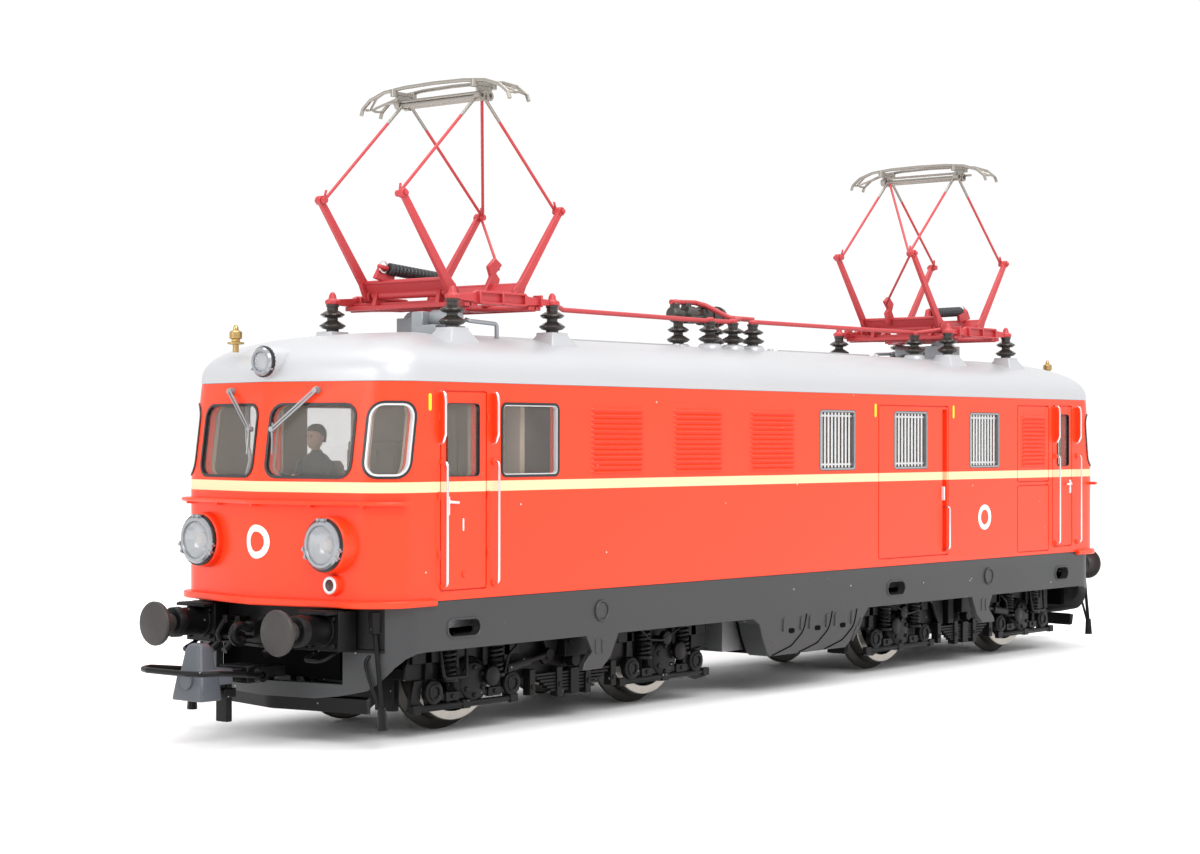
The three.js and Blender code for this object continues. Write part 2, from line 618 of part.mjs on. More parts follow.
// Assembly
const locomotive = new THREE.Group();
const add = (name, solid, material) => locomotive.add(toMesh(name, solid, material));
const turnedAbout = (solid) => solid.rotate([0, 0, 180]);

add('body_shell', bodyShell(), paint.red);
add('roof_shell', roofShell(), paint.silver);
add('glazing_front', cabGlazing(), paint.clear);
add('glazing_rear', turnedAbout(cabGlazing()), paint.clear);
add('glazing_left', sideGlazing(), paint.clear);
add('glazing_right', sideGlazing().mirror([0, 1, 0]), paint.clear);
add('sill_frame', sillFrame(), paint.darkGrey);
add('chassis_block', chassisBlock(), paint.casting);
add('circuit_board', box(-34, 34, -9.5, 9.5, 28.6, 29.4), paint.board);
add('cab_interior_front', cabInterior(), paint.cabBeige);
add('cab_interior_rear', turnedAbout(cabInterior()), paint.cabBeige);
add('driver_figure', driverFigure(), paint.uniform);
add('light_guide_front', lightGuide(), paint.clear);
add('light_guide_rear', turnedAbout(lightGuide()), paint.clear);

const drivetrain = new THREE.Group();
drivetrain.position.z = drive.z;
drivetrain.add(toMesh('motor_housing', motorHousing(), paint.casting));
drivetrain.add(toMesh('motor_rotor', motorRotor(), paint.steel));
drivetrain.add(toMesh('cardan_shaft_rear', cardanShaft(), paint.black));
drivetrain.add(toMesh('cardan_shaft_front', turnedAbout(cardanShaft()), paint.black));
locomotive.add(drivetrain);

for (const [end, label] of [[-1, 'front'], [1, 'rear']]) {
  const bogieGroup = new THREE.Group();
  bogieGroup.position.x = end * bogie.centre;
  bogieGroup.rotation.z = end < 0 ? 0 : Math.PI;
  bogieGroup.add(toMesh(`gear_case_${label}`, gearCase(), paint.black));
  bogieGroup.add(toMesh(`keeper_plate_${label}`, keeperPlate(), paint.black));
  bogieGroup.add(toMesh(`bogie_sides_${label}`, bogieSides(), paint.black));
  for (const [axle, place] of [[-1, 'outer'], [1, 'inner']]) {
    const set = toMesh(`wheelset_${label}_${place}`, wheelset(), paint.steel);
    set.position.set(axle * bogie.halfBase, 0, bogie.axleZ);
    bogieGroup.add(set);
  }
  const worm = toMesh(`worm_${label}`, wormShaft(), paint.brass);
  worm.position.z = drive.z;
  const wheelGear = toMesh(`worm_wheel_${label}`, wormWheel(), paint.black);
  wheelGear.position.z = drive.z - drive.wormR - drive.wormWheelR - 0.05;
  bogieGroup.add(worm, wheelGear);
  locomotive.add(bogieGroup);

  const pantograph = new THREE.Group();
  pantograph.position.x = end * panto.centre;
  pantograph.rotation.z = end < 0 ? 0 : Math.PI;
  pantograph.add(toMesh(`pantograph_base_${label}`, pantographBase(), paint.rodRed));
  pantograph.add(toMesh(`pantograph_spring_${label}`, pantographSpring(), paint.black));
  pantograph.add(toMesh(`lower_arms_outer_${label}`, lowerArms(-1), paint.rodRed));
  pantograph.add(toMesh(`lower_arms_inner_${label}`, lowerArms(1), paint.rodRed));
  pantograph.add(toMesh(`upper_arms_outer_${label}`, upperArms(-1, false), paint.rodRed));
  pantograph.add(toMesh(`upper_arms_inner_${label}`, upperArms(1, true), paint.rodRed));
  pantograph.add(toMesh(`pantograph_head_${label}`, pantographHead(), paint.carbonGrey));
  locomotive.add(pantograph);

  const endGroup = new THREE.Group();
  endGroup.rotation.z = end < 0 ? 0 : Math.PI;
  endGroup.add(toMesh(`coupler_head_${label}`, couplerHead(), paint.carbonGrey));
  endGroup.add(toMesh(`coupler_loop_${label}`, couplerLoop(), paint.black));
  for (const [side, hand] of [[-1, 'a'], [1, 'b']]) {
    const plunger = toMesh(`buffer_${label}_${hand}`, bufferPlunger(), paint.black);
    plunger.position.set(-buffer.faceX, side * buffer.y, buffer.z);
    endGroup.add(plunger);
  }
  const horn = toMesh(`whistle_${label}`, whistle(), paint.brass);
  horn.position.set(-82.2, 8, 44.4);
  endGroup.add(horn);
  locomotive.add(endGroup);
}

add('main_breaker', mainBreaker(), paint.black);
const barY = roofGear.insulatorY;
add('busbar_front', roofBusbar([[-45.5, barY - 2, 50.6], [-41, barY - 1, 50.1], [-11, barY, 50.03],
  [-3.6, barY, 50.07]], roofGear.insulatorX.slice(0, 2)), paint.rodRed);
add('busbar_rear', roofBusbar([[0.7, barY, 50.07], [44, barY, 50.4]],
  roofGear.insulatorX.slice(2)), paint.rodRed);

export default locomotive;
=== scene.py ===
import json
import math
import bmesh
import bpy
from mathutils import Matrix, Vector

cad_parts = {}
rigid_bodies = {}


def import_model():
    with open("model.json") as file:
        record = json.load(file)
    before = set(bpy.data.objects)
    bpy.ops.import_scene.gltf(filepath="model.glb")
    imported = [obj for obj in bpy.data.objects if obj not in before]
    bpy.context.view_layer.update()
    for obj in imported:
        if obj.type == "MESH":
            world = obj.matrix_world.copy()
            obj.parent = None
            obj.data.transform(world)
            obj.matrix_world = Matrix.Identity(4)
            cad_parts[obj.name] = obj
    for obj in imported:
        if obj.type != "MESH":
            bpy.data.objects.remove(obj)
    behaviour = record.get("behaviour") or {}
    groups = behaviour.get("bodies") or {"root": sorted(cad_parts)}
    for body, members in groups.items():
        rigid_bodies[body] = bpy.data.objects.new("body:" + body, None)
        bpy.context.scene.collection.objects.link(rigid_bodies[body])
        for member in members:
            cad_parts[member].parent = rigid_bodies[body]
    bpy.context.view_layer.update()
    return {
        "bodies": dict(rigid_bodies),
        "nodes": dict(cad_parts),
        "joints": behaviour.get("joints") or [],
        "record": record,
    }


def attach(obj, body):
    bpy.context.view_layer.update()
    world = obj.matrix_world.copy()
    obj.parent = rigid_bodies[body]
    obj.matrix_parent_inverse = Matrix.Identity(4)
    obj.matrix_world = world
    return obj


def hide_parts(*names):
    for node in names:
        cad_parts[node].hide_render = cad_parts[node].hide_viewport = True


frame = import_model()
nodes = frame["nodes"]
scene = bpy.context.scene
mm = 0.001
turnRound = Matrix.Rotation(math.pi, 4, "Z")  # the front end's pieces, turned to the rear end
flipSide = Matrix.Scale(-1, 4, (0, 1, 0))
ends = {"front": Matrix.Identity(4), "rear": turnRound}
bothSides = (Matrix.Identity(4), flipSide)
print("frame loaded")


# Shader maths

class Wire:  # a socket that can be added, scaled and compared
    def __init__(self, paint, socket):
        self.paint = paint
        self.socket = socket

    def math(self, operation, other, swapped=False):
        first, second = (other, self) if swapped else (self, other)
        return self.paint.node("ShaderNodeMath", {"operation": operation}, {0: first, 1: second})

    def __add__(self, other):
        return self.math("ADD", other)

    def __sub__(self, other):
        return self.math("SUBTRACT", other)

    def __rsub__(self, other):
        return self.math("SUBTRACT", other, True)

    def __mul__(self, other):
        return self.math("MULTIPLY", other)

    def __gt__(self, other):
        return self.math("GREATER_THAN", other)

    def __lt__(self, other):
        return self.math("LESS_THAN", other)

    __radd__ = __add__
    __rmul__ = __mul__


class Paint:
    def __init__(self, name, **fixed):
        self.material = bpy.data.materials.new(name)
        self.material.use_nodes = True
        self.tree = self.material.node_tree
        self.shader = self.tree.nodes["Principled BSDF"]
        for socket, value in fixed.items():
            self.shader.inputs[socket.replace("_", " ")].default_value = value
        self.place = self.node("ShaderNodeTexCoord", out="Object")

    def node(self, kind, settings=None, values=None, out=0):
        made = self.tree.nodes.new(kind)
        for key, value in (settings or {}).items():
            if key == "stops":
                ramp = made.color_ramp.elements
                ramp[0].position, ramp[0].color = value[0]
                ramp[1].position, ramp[1].color = value[-1]
                for position, colour in value[1:-1]:
                    ramp.new(position).color = colour
            else:
                setattr(made, key, value)
        for key, value in (values or {}).items():
            if isinstance(value, Wire):
                self.tree.links.new(value.socket, made.inputs[key])
            else:
                made.inputs[key].default_value = value
        return Wire(self, made.outputs[out])

    def noise(self, scale, detail=3.0, stretch=(1, 1, 1)):
        spread = self.node("ShaderNodeMapping", None, {"Vector": self.place, "Scale": stretch})
        return self.node("ShaderNodeTexNoise", None, {"Vector": spread, "Scale": scale, "Detail": detail})

    def mix(self, factor, first, second):
        return self.node("ShaderNodeMix", {"data_type": "RGBA"}, {0: factor, 6: first, 7: second}, out=2)

    def feed(self, socket, value):
        self.tree.links.new(value.socket, self.shader.inputs[socket])

    def bump(self, height, strength, depth):
        normal = self.node("ShaderNodeBump", None,
                           {"Height": height, "Strength": strength, "Distance": depth * mm})
        self.feed("Normal", normal)


def shade(colour, factor):
    return tuple(min(1, c * factor) for c in colour[:3]) + (1,)


# A finish: broad mottling, fine grain in colour, roughness and bump, and pale dust specks
def finish(name, colour, rough=0.4, metal=0.0, tint=0.08, grain=2500, bump=0.25, depth=0.02,
           specks=0.0, stretch=(1, 1, 1), **fixed):
    paint = Paint(name, Metallic=metal, **fixed)
    broad = paint.noise(90, 4)
    fine = paint.noise(grain, 3, stretch)
    base = paint.mix(broad, shade(colour, 1 - tint), shade(colour, 1 + tint))
    base = paint.mix(fine * 0.35, base, shade(colour, 1 - 2 * tint))
    if specks:
        dots = paint.node("ShaderNodeTexVoronoi", None,
                          {"Vector": paint.place, "Scale": 700, "Randomness": 1.0})
        chosen = (dots < 0.085) * (paint.noise(260, 1) > 0.57)
        base = paint.mix(chosen * specks, base, (0.55, 0.55, 0.54, 1))
    paint.feed("Base Color", base)
    paint.feed("Roughness", rough + (fine - 0.5) * 0.16 + (broad - 0.5) * 0.12)
    paint.bump(fine, bump, depth)
    return paint.material


finishes = {
    "red": (0.80, 0.044, 0.009, 1), "cream": (0.74, 0.56, 0.33, 1), "silver": (0.455, 0.46, 0.475, 1),
    "sill": (0.024, 0.0255, 0.027, 1), "black": (0.004, 0.004, 0.0045, 1), "rod": (0.44, 0.032, 0.037, 1),
}
stripe = {"low": 28.0, "high": 29.17}


def bodyPaint(name, striped):
    paint = Paint(name, Specular_IOR_Level=0.34)
    broad = paint.noise(60, 3)
    fine = paint.noise(1800, 2)
    base = paint.mix(broad, shade(finishes["red"], 0.95), shade(finishes["red"], 1.05))
    if striped:
        height = paint.node("ShaderNodeSeparateXYZ", None, {0: paint.place}, out=2)
        band = (height > stripe["low"] * mm) * (height < stripe["high"] * mm)
        base = paint.mix(band, base, finishes["cream"])
    dots = paint.node("ShaderNodeTexVoronoi", None, {"Vector": paint.place, "Scale": 260})
    base = paint.mix((dots < 0.03) * 0.55, base, (1, 0.85, 0.8, 1))
    paint.feed("Base Color", base)
    paint.feed("Roughness", 0.27 + broad * 0.08 + fine * 0.06)
    paint.bump(fine, 0.12, 0.02)
    return paint.material


def glassPaint(name, colour, alpha, rough=0.04):
    paint = Paint(name, Roughness=rough, IOR=1.49)
    haze = paint.noise(150, 3)
    paint.feed("Base Color", paint.mix(haze, shade(colour, 0.9), shade(colour, 1.1)))
    paint.feed("Alpha", alpha + haze * 0.06)
    return paint.material


# Turned metal: fine rings round an axis through the piece, darker outside a set radius
def turnedPaint(name, colour, centres, darkFrom, rough=0.32):
    paint = Paint(name, Metallic=1.0)
    parts = [paint.node("ShaderNodeSeparateXYZ", None, {0: paint.place}, out=i) for i in range(3)]
    square = None
    for i, centre in centres.items():
        side = parts[i] - centre * mm
        square = side * side if square is None else square + side * side
    radius = paint.node("ShaderNodeMath", {"operation": "SQRT"}, {0: square})
    rings = paint.node("ShaderNodeMath", {"operation": "SINE"}, {0: radius * 42000})
    grain = paint.noise(1600, 3)
    bright = paint.mix(grain, shade(colour, 0.82), shade(colour, 1.12))
    paint.feed("Base Color", paint.mix(radius > darkFrom * mm, bright, shade(colour, 0.14)))
    paint.feed("Roughness", rough + grain * 0.12 + rings * 0.04)
    paint.bump(rings, 0.15, 0.006)
    return paint.material


redBody = bodyPaint("redBodyPaint", True)
redPlain = bodyPaint("redTrimPaint", False)
silverRoof = finish("silverRoofPaint", finishes["silver"], rough=0.38, metal=0.25, tint=0.04,
                    grain=5200, bump=0.3, depth=0.015)
sillGrey = finish("sillGreyPlastic", finishes["sill"], rough=0.46, grain=3200, specks=0.6, bump=0.2)
bogieBlack = finish("bogieBlackPlastic", finishes["black"], rough=0.4, grain=2600, specks=0.3,
                    bump=0.3, depth=0.03, Specular_IOR_Level=0.18)
# near-black with almost no gloss: painted shade for the sill's grooves and pockets, the apron mouths and the
# core of the middle tank
paintedShadeBlack = finish("paintedShadeBlack", (0.002, 0.002, 0.002, 1), rough=0.8, bump=0.1, Specular_IOR_Level=0.05)
gasketBlack = finish("gasketRubber", (0.008, 0.008, 0.009, 1), rough=0.35, bump=0.1)
rodRed = finish("pantographRed", finishes["rod"], rough=0.42, grain=1900, tint=0.08, bump=0.15)
insulatorBrown = finish("insulatorGlaze", (0.035, 0.03, 0.026, 1), rough=0.2, grain=900, bump=0.1,
                        tint=0.2)
railSilver = finish("handrailSteel", (0.72, 0.72, 0.72, 1), rough=0.24, metal=1.0, grain=4000,
                    stretch=(1, 1, 0.1), bump=0.1)
trimGrey = finish("windowFrameGrey", (0.30, 0.31, 0.32, 1), rough=0.35, metal=0.6, tint=0.05)
trimWhite = finish("windowFrameWhite", (0.66, 0.66, 0.67, 1), rough=0.3, metal=0.2, tint=0.03)
rimGrey = finish("lampRimGrey", (0.30, 0.31, 0.33, 1), rough=0.22, metal=0.55, tint=0.05, bump=0.1)
chrome = finish("lampReflector", (0.40, 0.41, 0.42, 1), rough=0.1, metal=1.0, tint=0.03, bump=0.05)
bulbGlass = finish("lampBulb", (0.62, 0.5, 0.48, 1), rough=0.2, tint=0.1, bump=0.05)
markWhite = finish("markingWhite", (0.86, 0.86, 0.86, 1), rough=0.4, tint=0.02, bump=0.1)
markYellow = finish("markingYellow", (0.95, 0.72, 0.02, 1), rough=0.4, tint=0.03, bump=0.1)
tailRed = finish("tailLens", (0.05, 0.006, 0.006, 1), rough=0.16, tint=0.2, bump=0.1)
headGrey = finish("collectorGrey", (0.30, 0.28, 0.25, 1), rough=0.36, metal=0.75, grain=1200,
                  bump=0.15, stretch=(1, 0.2, 1))
springDark = finish("springSteel", (0.045, 0.047, 0.05, 1), rough=0.38, metal=0.6, bump=0.2)
brass = finish("whistleBrass", (0.50, 0.34, 0.14, 1), rough=0.24, metal=1.0, tint=0.08, bump=0.15)
bufferBrown = finish("bufferSteel", (0.036, 0.032, 0.030, 1), rough=0.5, metal=0.3, tint=0.3,
                     grain=1500, bump=0.6, depth=0.04)
couplerGrey = finish("couplerPlastic", (0.062, 0.071, 0.083, 1), rough=0.42, tint=0.1, bump=0.3)
motorGrey = finish("roofMotorGrey", (0.30, 0.32, 0.34, 1), rough=0.42, metal=0.4, tint=0.08)
cabBeige = finish("cabMoulding", (0.40, 0.32, 0.235, 1), rough=0.6, tint=0.12, bump=0.3)
jacketPaint = finish("jacketPaint", (0.050, 0.062, 0.060, 1), rough=0.62, tint=0.2, bump=0.3)
skinPaint = finish("skinPaint", (0.80, 0.50, 0.39, 1), rough=0.5, tint=0.08, bump=0.1)
hairPaint = finish("hairPaint", (0.035, 0.022, 0.015, 1), rough=0.5, tint=0.3, bump=0.5)
castMetal = finish("castZinc", (0.32, 0.33, 0.34, 1), rough=0.45, metal=0.85, tint=0.1, bump=0.4)
boardGreen = finish("boardLacquer", (0.012, 0.10, 0.035, 1), rough=0.3, tint=0.2, bump=0.2)
motorSteel = finish("motorSteel", (0.55, 0.54, 0.51, 1), rough=0.3, metal=1.0, grain=2400,
                    stretch=(0.1, 1, 1), bump=0.2)
paneClear = glassPaint("clearPane", (0.30, 0.29, 0.27, 1), 0.12)
lensClear = glassPaint("lampLens", (0.50, 0.52, 0.54, 1), 0.3, 0.12)
print("finishes ready")


# Solid forms, written in millimetres

class Shape:
    def __init__(self):
        self.verts = []
        self.faces = []

    def add(self, verts, faces):
        first = len(self.verts)
        self.verts += [Vector(v) for v in verts]
        self.faces += [[first + i for i in face] for face in faces]
        return self

    def stack(self, rings, around=False, fan=False):  # closed rings of points joined in order
        count = len(rings[0])
        verts = [point for ring in rings for point in ring]
        faces = []
        pairs = len(rings) if around else len(rings) - 1
        for k in range(pairs):
            here, there = k * count, (k + 1) % len(rings) * count
            for i in range(count):
                j = (i + 1) % count
                faces.append([here + i, here + j, there + j, there + i])
        if not around:
            for start, order in ((0, -1), (len(verts) - count, 1)):
                ring = [start + i for i in range(count)][::order]
                if fan:
                    middle = sum((Vector(verts[i]) for i in ring), Vector()) / count
                    verts.append(middle)
                    last = len(verts) - 1
                    faces += [[ring[i], ring[(i + 1) % count], last] for i in range(count)]
                else:
                    faces.append(ring)
        return self.add(verts, faces)

    def box(self, x0, x1, y0, y1, z0, z1):
        return self.prism([(x0, y0), (x1, y0), (x1, y1), (x0, y1)], "z", z0, z1)

    def prism(self, outline, axis, low, high):
        def lift(point, level):
            a, b = point
            return {"x": (level, a, b), "y": (a, level, b), "z": (a, b, level)}[axis]
        return self.stack([[lift(p, level) for p in outline] for level in (low, high)])

    def turned(self, profile, centre=(0, 0, 0), axis="z", sides=16):  # profile: (radius, distance)
        rings = []
        for radius, along in profile:
            ring = []
            for i in range(sides):
                angle = 2 * math.pi * (i + 0.5) / sides
                a, b = max(radius, 0.01) * math.cos(angle), max(radius, 0.01) * math.sin(angle)
                point = {"x": (along, a, b), "y": (b, along, a), "z": (a, b, along)}[axis]
                ring.append(Vector(point) + Vector(centre))
            rings.append(ring)
        return self.stack(rings)

    def rod(self, start, end, radius, sides=8, tip=None):
        start, end = Vector(start), Vector(end)
        turn = (end - start).to_track_quat("Z", "Y")
        rings = []
        for point, size in ((start, radius), (end, radius if tip is None else tip)):
            rings.append([point + turn @ Vector((size * math.cos(2 * math.pi * i / sides),
                                                 size * math.sin(2 * math.pi * i / sides), 0))
                          for i in range(sides)])
        return self.stack(rings)

    def frame(self, outer, inner, at, low, high):  # a closed moulding between two loops on a skin
        return self.stack([[at(*a, low), at(*a, high), at(*b, high), at(*b, low)]
                           for a, b in zip(outer, inner)], around=True)

    def plug(self, loop, at, low, high):
        return self.stack([[at(u, v, level) for u, v in loop] for level in (low, high)], fan=True)

    def take(self, other, *turns):  # another shape, once for each turn
        for turn in turns or (Matrix.Identity(4),):
            self.add([turn @ v for v in other.verts], other.faces)
        return self

    def moved(self, turn):
        return Shape().take(self, turn)

    def mesh(self, name):
        data = bpy.data.meshes.new(name)
        data.from_pydata([v * mm for v in self.verts], [], self.faces)
        work = bmesh.new()
        work.from_mesh(data)
        bmesh.ops.recalc_face_normals(work, faces=work.faces)
        work.to_mesh(data)
        work.free()
        return data


def loose(name, data):
    thing = bpy.data.objects.new(name, data)
    scene.collection.objects.link(thing)
    return thing


def settle(thing):  # modifiers worked out and left as a plain mesh
    graph = bpy.context.evaluated_depsgraph_get()
    data = bpy.data.meshes.new_from_object(thing.evaluated_get(graph), depsgraph=graph)
    old = thing.data
    thing.modifiers.clear()
    thing.data = data
    bpy.data.meshes.remove(old)
    return thing


def piece(name, shape, material, body="root", replaces=(), slot=None, bevel=0.0, smooth=38,
          cutter=None, segments=1):
    thing = loose(name, shape.mesh(name))
    if cutter:
        knife = loose(name + "Cutter", cutter.mesh(name + "Cutter"))
        cut = thing.modifiers.new("cut", "BOOLEAN")
        cut.object, cut.operation, cut.solver = knife, "DIFFERENCE", "EXACT"
        cut.use_self = True
        settle(thing)
        bpy.data.objects.remove(knife)
    if bevel:
        edge = thing.modifiers.new("edge", "BEVEL")
        edge.width, edge.segments = bevel * mm, segments
        edge.limit_method, edge.angle_limit = "ANGLE", math.radians(40)
        settle(thing)
    thing.data.name = name
    thing.data.materials.clear()
    thing.data.materials.append(material)
    thing.data.shade_smooth()
    thing.data.set_sharp_from_angle(angle=math.radians(smooth))
    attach(thing, body)
    if replaces:
        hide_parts(*([replaces] if isinstance(replaces, str) else replaces))
    return thing


# Node trees for what repeats or follows a path

def nodeTree(name, inputs):
    tree = bpy.data.node_groups.new(name, "GeometryNodeTree")
    tree.interface.new_socket("Geometry", in_out="INPUT", socket_type="NodeSocketGeometry")
    for label, kind, value in inputs:
        socket = tree.interface.new_socket(label, in_out="INPUT", socket_type="NodeSocket" + kind)
        if value is not None:
            socket.default_value = value
    tree.interface.new_socket("Geometry", in_out="OUTPUT", socket_type="NodeSocketGeometry")
    given = tree.nodes.new("NodeGroupInput")
    result = tree.nodes.new("NodeGroupOutput")

    def step(kind, links, settings=None):
        made = tree.nodes.new("GeometryNode" + kind)
        for key, value in (settings or {}).items():
            setattr(made, key, value)
        for key, value in links.items():
            if isinstance(value, str):
                tree.links.new(given.outputs[value], made.inputs[key])
            elif hasattr(value, "outputs"):
                tree.links.new(value.outputs[0], made.inputs[key])
            else:
                made.inputs[key].default_value = value
        return made

    def close(last):
        real = step("RealizeInstances", {"Geometry": last})
        painted = step("SetMaterial", {"Geometry": real, "Material": "Material"})
        tree.links.new(painted.outputs[0], result.inputs[0])
        return tree
    return step, close


def tubeTree():
    step, close = nodeTree("tubeAlongPath", [
        ("Radius", "Float", 0.001), ("Sides", "Int", 8), ("Bend", "Float", 0.001),
        ("Material", "Material", None)])
    path = step("MeshToCurve", {"Mesh": "Geometry"})
    bent = step("FilletCurve", {"Curve": path, "Radius": "Bend", "Limit Radius": True, "Count": 4},
                {"mode": "POLY"})
    section = step("CurvePrimitiveCircle", {"Resolution": "Sides", "Radius": "Radius"})
    return close(step("CurveToMesh", {"Curve": bent, "Profile Curve": section, "Fill Caps": True}))


def rowTree():
    step, close = nodeTree("rowOfCopies", [
        ("Count", "Int", 3), ("Step", "Vector", None), ("Material", "Material", None)])
    line = step("MeshLine", {"Count": "Count", "Offset": "Step"}, {"mode": "OFFSET"})
    return close(step("InstanceOnPoints", {"Points": line, "Instance": "Geometry"}))


def coilTree():
    step, close = nodeTree("coilOnEachPoint", [
        ("Height", "Float", 0.003), ("Radius", "Float", 0.001), ("Turns", "Float", 5.0),
        ("Wire", "Float", 0.0002), ("Sides", "Int", 6), ("Material", "Material", None)])
    spiral = step("CurveSpiral", {"Resolution": 12, "Rotations": "Turns", "Start Radius": "Radius",
                                  "End Radius": "Radius", "Height": "Height"})
    section = step("CurvePrimitiveCircle", {"Resolution": "Sides", "Radius": "Wire"})
    coil = step("CurveToMesh", {"Curve": spiral, "Profile Curve": section, "Fill Caps": True})
    return close(step("InstanceOnPoints", {"Points": "Geometry", "Instance": coil}))


trees = {"tube": tubeTree(), "row": rowTree(), "coil": coilTree()}


def grown(kind, data, material, **values):  # runs a tree on a mesh and hands back a shape
    thing = loose(kind + "Source", data)
    grower = thing.modifiers.new("grow", "NODES")
    grower.node_group = trees[kind]
    values["Material"] = material
    for item in trees[kind].interface.items_tree:
        if item.in_out == "INPUT" and item.name in values:
            grower[item.identifier] = values[item.name]
    settle(thing)
    shape = Shape().add([v.co / mm for v in thing.data.vertices],
                        [list(face.vertices) for face in thing.data.polygons])
    bpy.data.objects.remove(thing)
    return shape


def pathMesh(paths):
    data = bpy.data.meshes.new("paths")
    verts, edges = [], []
    for path in paths:
        first = len(verts)
        verts += [Vector(p) * mm for p in path]
        edges += [(first + i, first + i + 1) for i in range(len(path) - 1)]
    data.from_pydata(verts, edges, [])
    return data


def tubes(paths, radius, material, bend=0.0, sides=8):
    return grown("tube", pathMesh(paths), material, Radius=radius * mm, Sides=sides, Bend=bend * mm)


def row(shape, count, step, material):
    return grown("row", shape.mesh("one"), material, Count=count, Step=Vector(step) * mm)


def coils(points, height, radius, turns, wire, material, sides=6):
    return grown("coil", pathMesh([[p] for p in points]), material, Height=height * mm,
                 Radius=radius * mm, Turns=turns, Wire=wire * mm, Sides=sides)


def roundedLoop(u0, u1, v0, v1, radius, steps=4, cuts=0):
    points = []
    corners = [(u1 - radius, v0 + radius, -90), (u1 - radius, v1 - radius, 0),
               (u0 + radius, v1 - radius, 90), (u0 + radius, v0 + radius, 180)]
    for k, (u, v, start) in enumerate(corners):
        for i in range(steps + 1):
            angle = math.radians(start + 90 * i / steps)
            points.append((u + radius * math.cos(angle), v + radius * math.sin(angle)))
        if k in (1, 3):
            last = points[-1][0]
            goal = u0 + radius if k == 1 else u1 - radius
            points += [(last + (goal - last) * i / (cuts + 1), points[-1][1])
                       for i in range(1, cuts + 1)]
    return points


def grow(limits, by):
    u0, u1, v0, v1, radius = limits
    return u0 - by, u1 + by, v0 - by, v1 + by, max(radius + by, 0.05)


# Camera, light and floor

view = {"place": (-263.511, -194.646, 34.116), "lens": 69.69, "heading": 0.8855, "pitch": 0.0046,
        "roll": 0.0019}


def makeCamera():
    data = bpy.data.cameras.new("studioCamera")
    data.lens, data.sensor_width, data.clip_start, data.clip_end = view["lens"], 36, 0.02, 20
    camera = loose("studioCamera", data)
    ahead = Vector((math.sin(view["heading"]), math.cos(view["heading"]), math.tan(view["pitch"])))
    ahead.normalize()
    right = ahead.cross(Vector((0, 0, 1))).normalized()
    up = right.cross(ahead)
    c, s = math.cos(view["roll"]), math.sin(view["roll"])
    right, up = right * c + up * s, up * c - right * s
    turn = Matrix((right, up, -ahead)).transposed().to_4x4()
    camera.matrix_world = Matrix.Translation(Vector(view["place"]) * mm) @ turn
    scene.camera = camera


studio = {"world": 1.05, "floor": (0.965, 0.965, 0.965, 1),
          "lights": [("keyLight", (-0.35, -0.75, 0.75), (0.7, 0.5), 7.0),
                     ("topLight", (0.1, 0.05, 0.9), (0.9, 0.5), 5.0),
                     ("endLight", (-0.9, 0.15, 0.35), (0.4, 0.4), 2.2)]}


def makeStudio():
    world = bpy.data.worlds.new("paleRoom")
    world.use_nodes = True
    world.node_tree.nodes["Background"].inputs[0].default_value = (1, 1, 1, 1)
    world.node_tree.nodes["Background"].inputs[1].default_value = studio["world"]
    scene.world = world
    floor = loose("studioFloor", Shape().box(-6000, 6000, -6000, 6000, -2, 0).mesh("studioFloor"))
    floor.data.materials.append(finish("paleFloor", studio["floor"], rough=0.6, tint=0.01, grain=300,
                                       bump=0.02))
    for name, place, size, power in studio["lights"]:
        data = bpy.data.lights.new(name, "AREA")
        data.shape, data.size, data.size_y, data.energy = "RECTANGLE", size[0], size[1], power
        lamp = loose(name, data)
        lamp.location = place
        lamp.rotation_euler = Vector(place).to_track_quat("Z", "Y").to_euler()
    scene.view_settings.view_transform = "Standard"


makeCamera()
makeStudio()
print("camera and light placed")


# The plan shared by body, sill and roof

body = {"halfWidth": 17.0, "nose": 86.3, "corner": 5.0, "vee": 0.2, "wall": 1.2, "bottom": 15.9,
        "belt": 29.0, "gutter": 40.3, "rake": 1.6}
slope = math.atan(body["vee"])


def noseAt(z):
    return body["nose"] - body["rake"] * max(0, z - body["belt"]) / (body["gutter"] - body["belt"])


def planOutline(nose, halfWidth, corner, steps=10):
    centreY = halfWidth - corner
    centreX = nose - body["vee"] * centreY - corner * math.hypot(1, body["vee"])
    quarter = [(nose, 0.0)]
    for i in range(steps + 1):
        angle = slope + (math.pi / 2 - slope) * i / steps
        quarter.append((centreX + corner * math.cos(angle), centreY + corner * math.sin(angle)))
    rest = quarter[1:]
    return (quarter + [(-x, y) for x, y in quarter[::-1]] + [(-x, -y) for x, y in rest]
            + [(x, -y) for x, y in rest[::-1]])


def endSkin(s, z, out=0.0, nose=None):  # s runs along the front end's plan from its crease
    reach = noseAt(z) if nose is None else nose
    corner = body["corner"]
    centreY = body["halfWidth"] - corner
    centreX = reach - body["vee"] * centreY - corner * math.hypot(1, body["vee"])
    flat = (centreY + corner * math.sin(slope)) / math.cos(slope)
    arc = corner * (math.pi / 2 - slope)
    n = abs(s)
    if n < flat:
        x, y, nx, ny = reach - n * math.sin(slope), n * math.cos(slope), math.cos(slope), math.sin(slope)
    elif n < flat + arc:
        angle = slope + (n - flat) / corner
        nx, ny = math.cos(angle), math.sin(angle)
        x, y = centreX + corner * nx, centreY + corner * ny
    else:
        x, y, nx, ny = centreX - (n - flat - arc), body["halfWidth"], 0, 1
    hand = -1 if s < 0 else 1
    return Vector((-(x + out * nx), hand * (y + out * ny), z))


def sideSkin(hand):
    return lambda x, z, out: Vector((x, hand * (body["halfWidth"] + out), z))


# Body shell

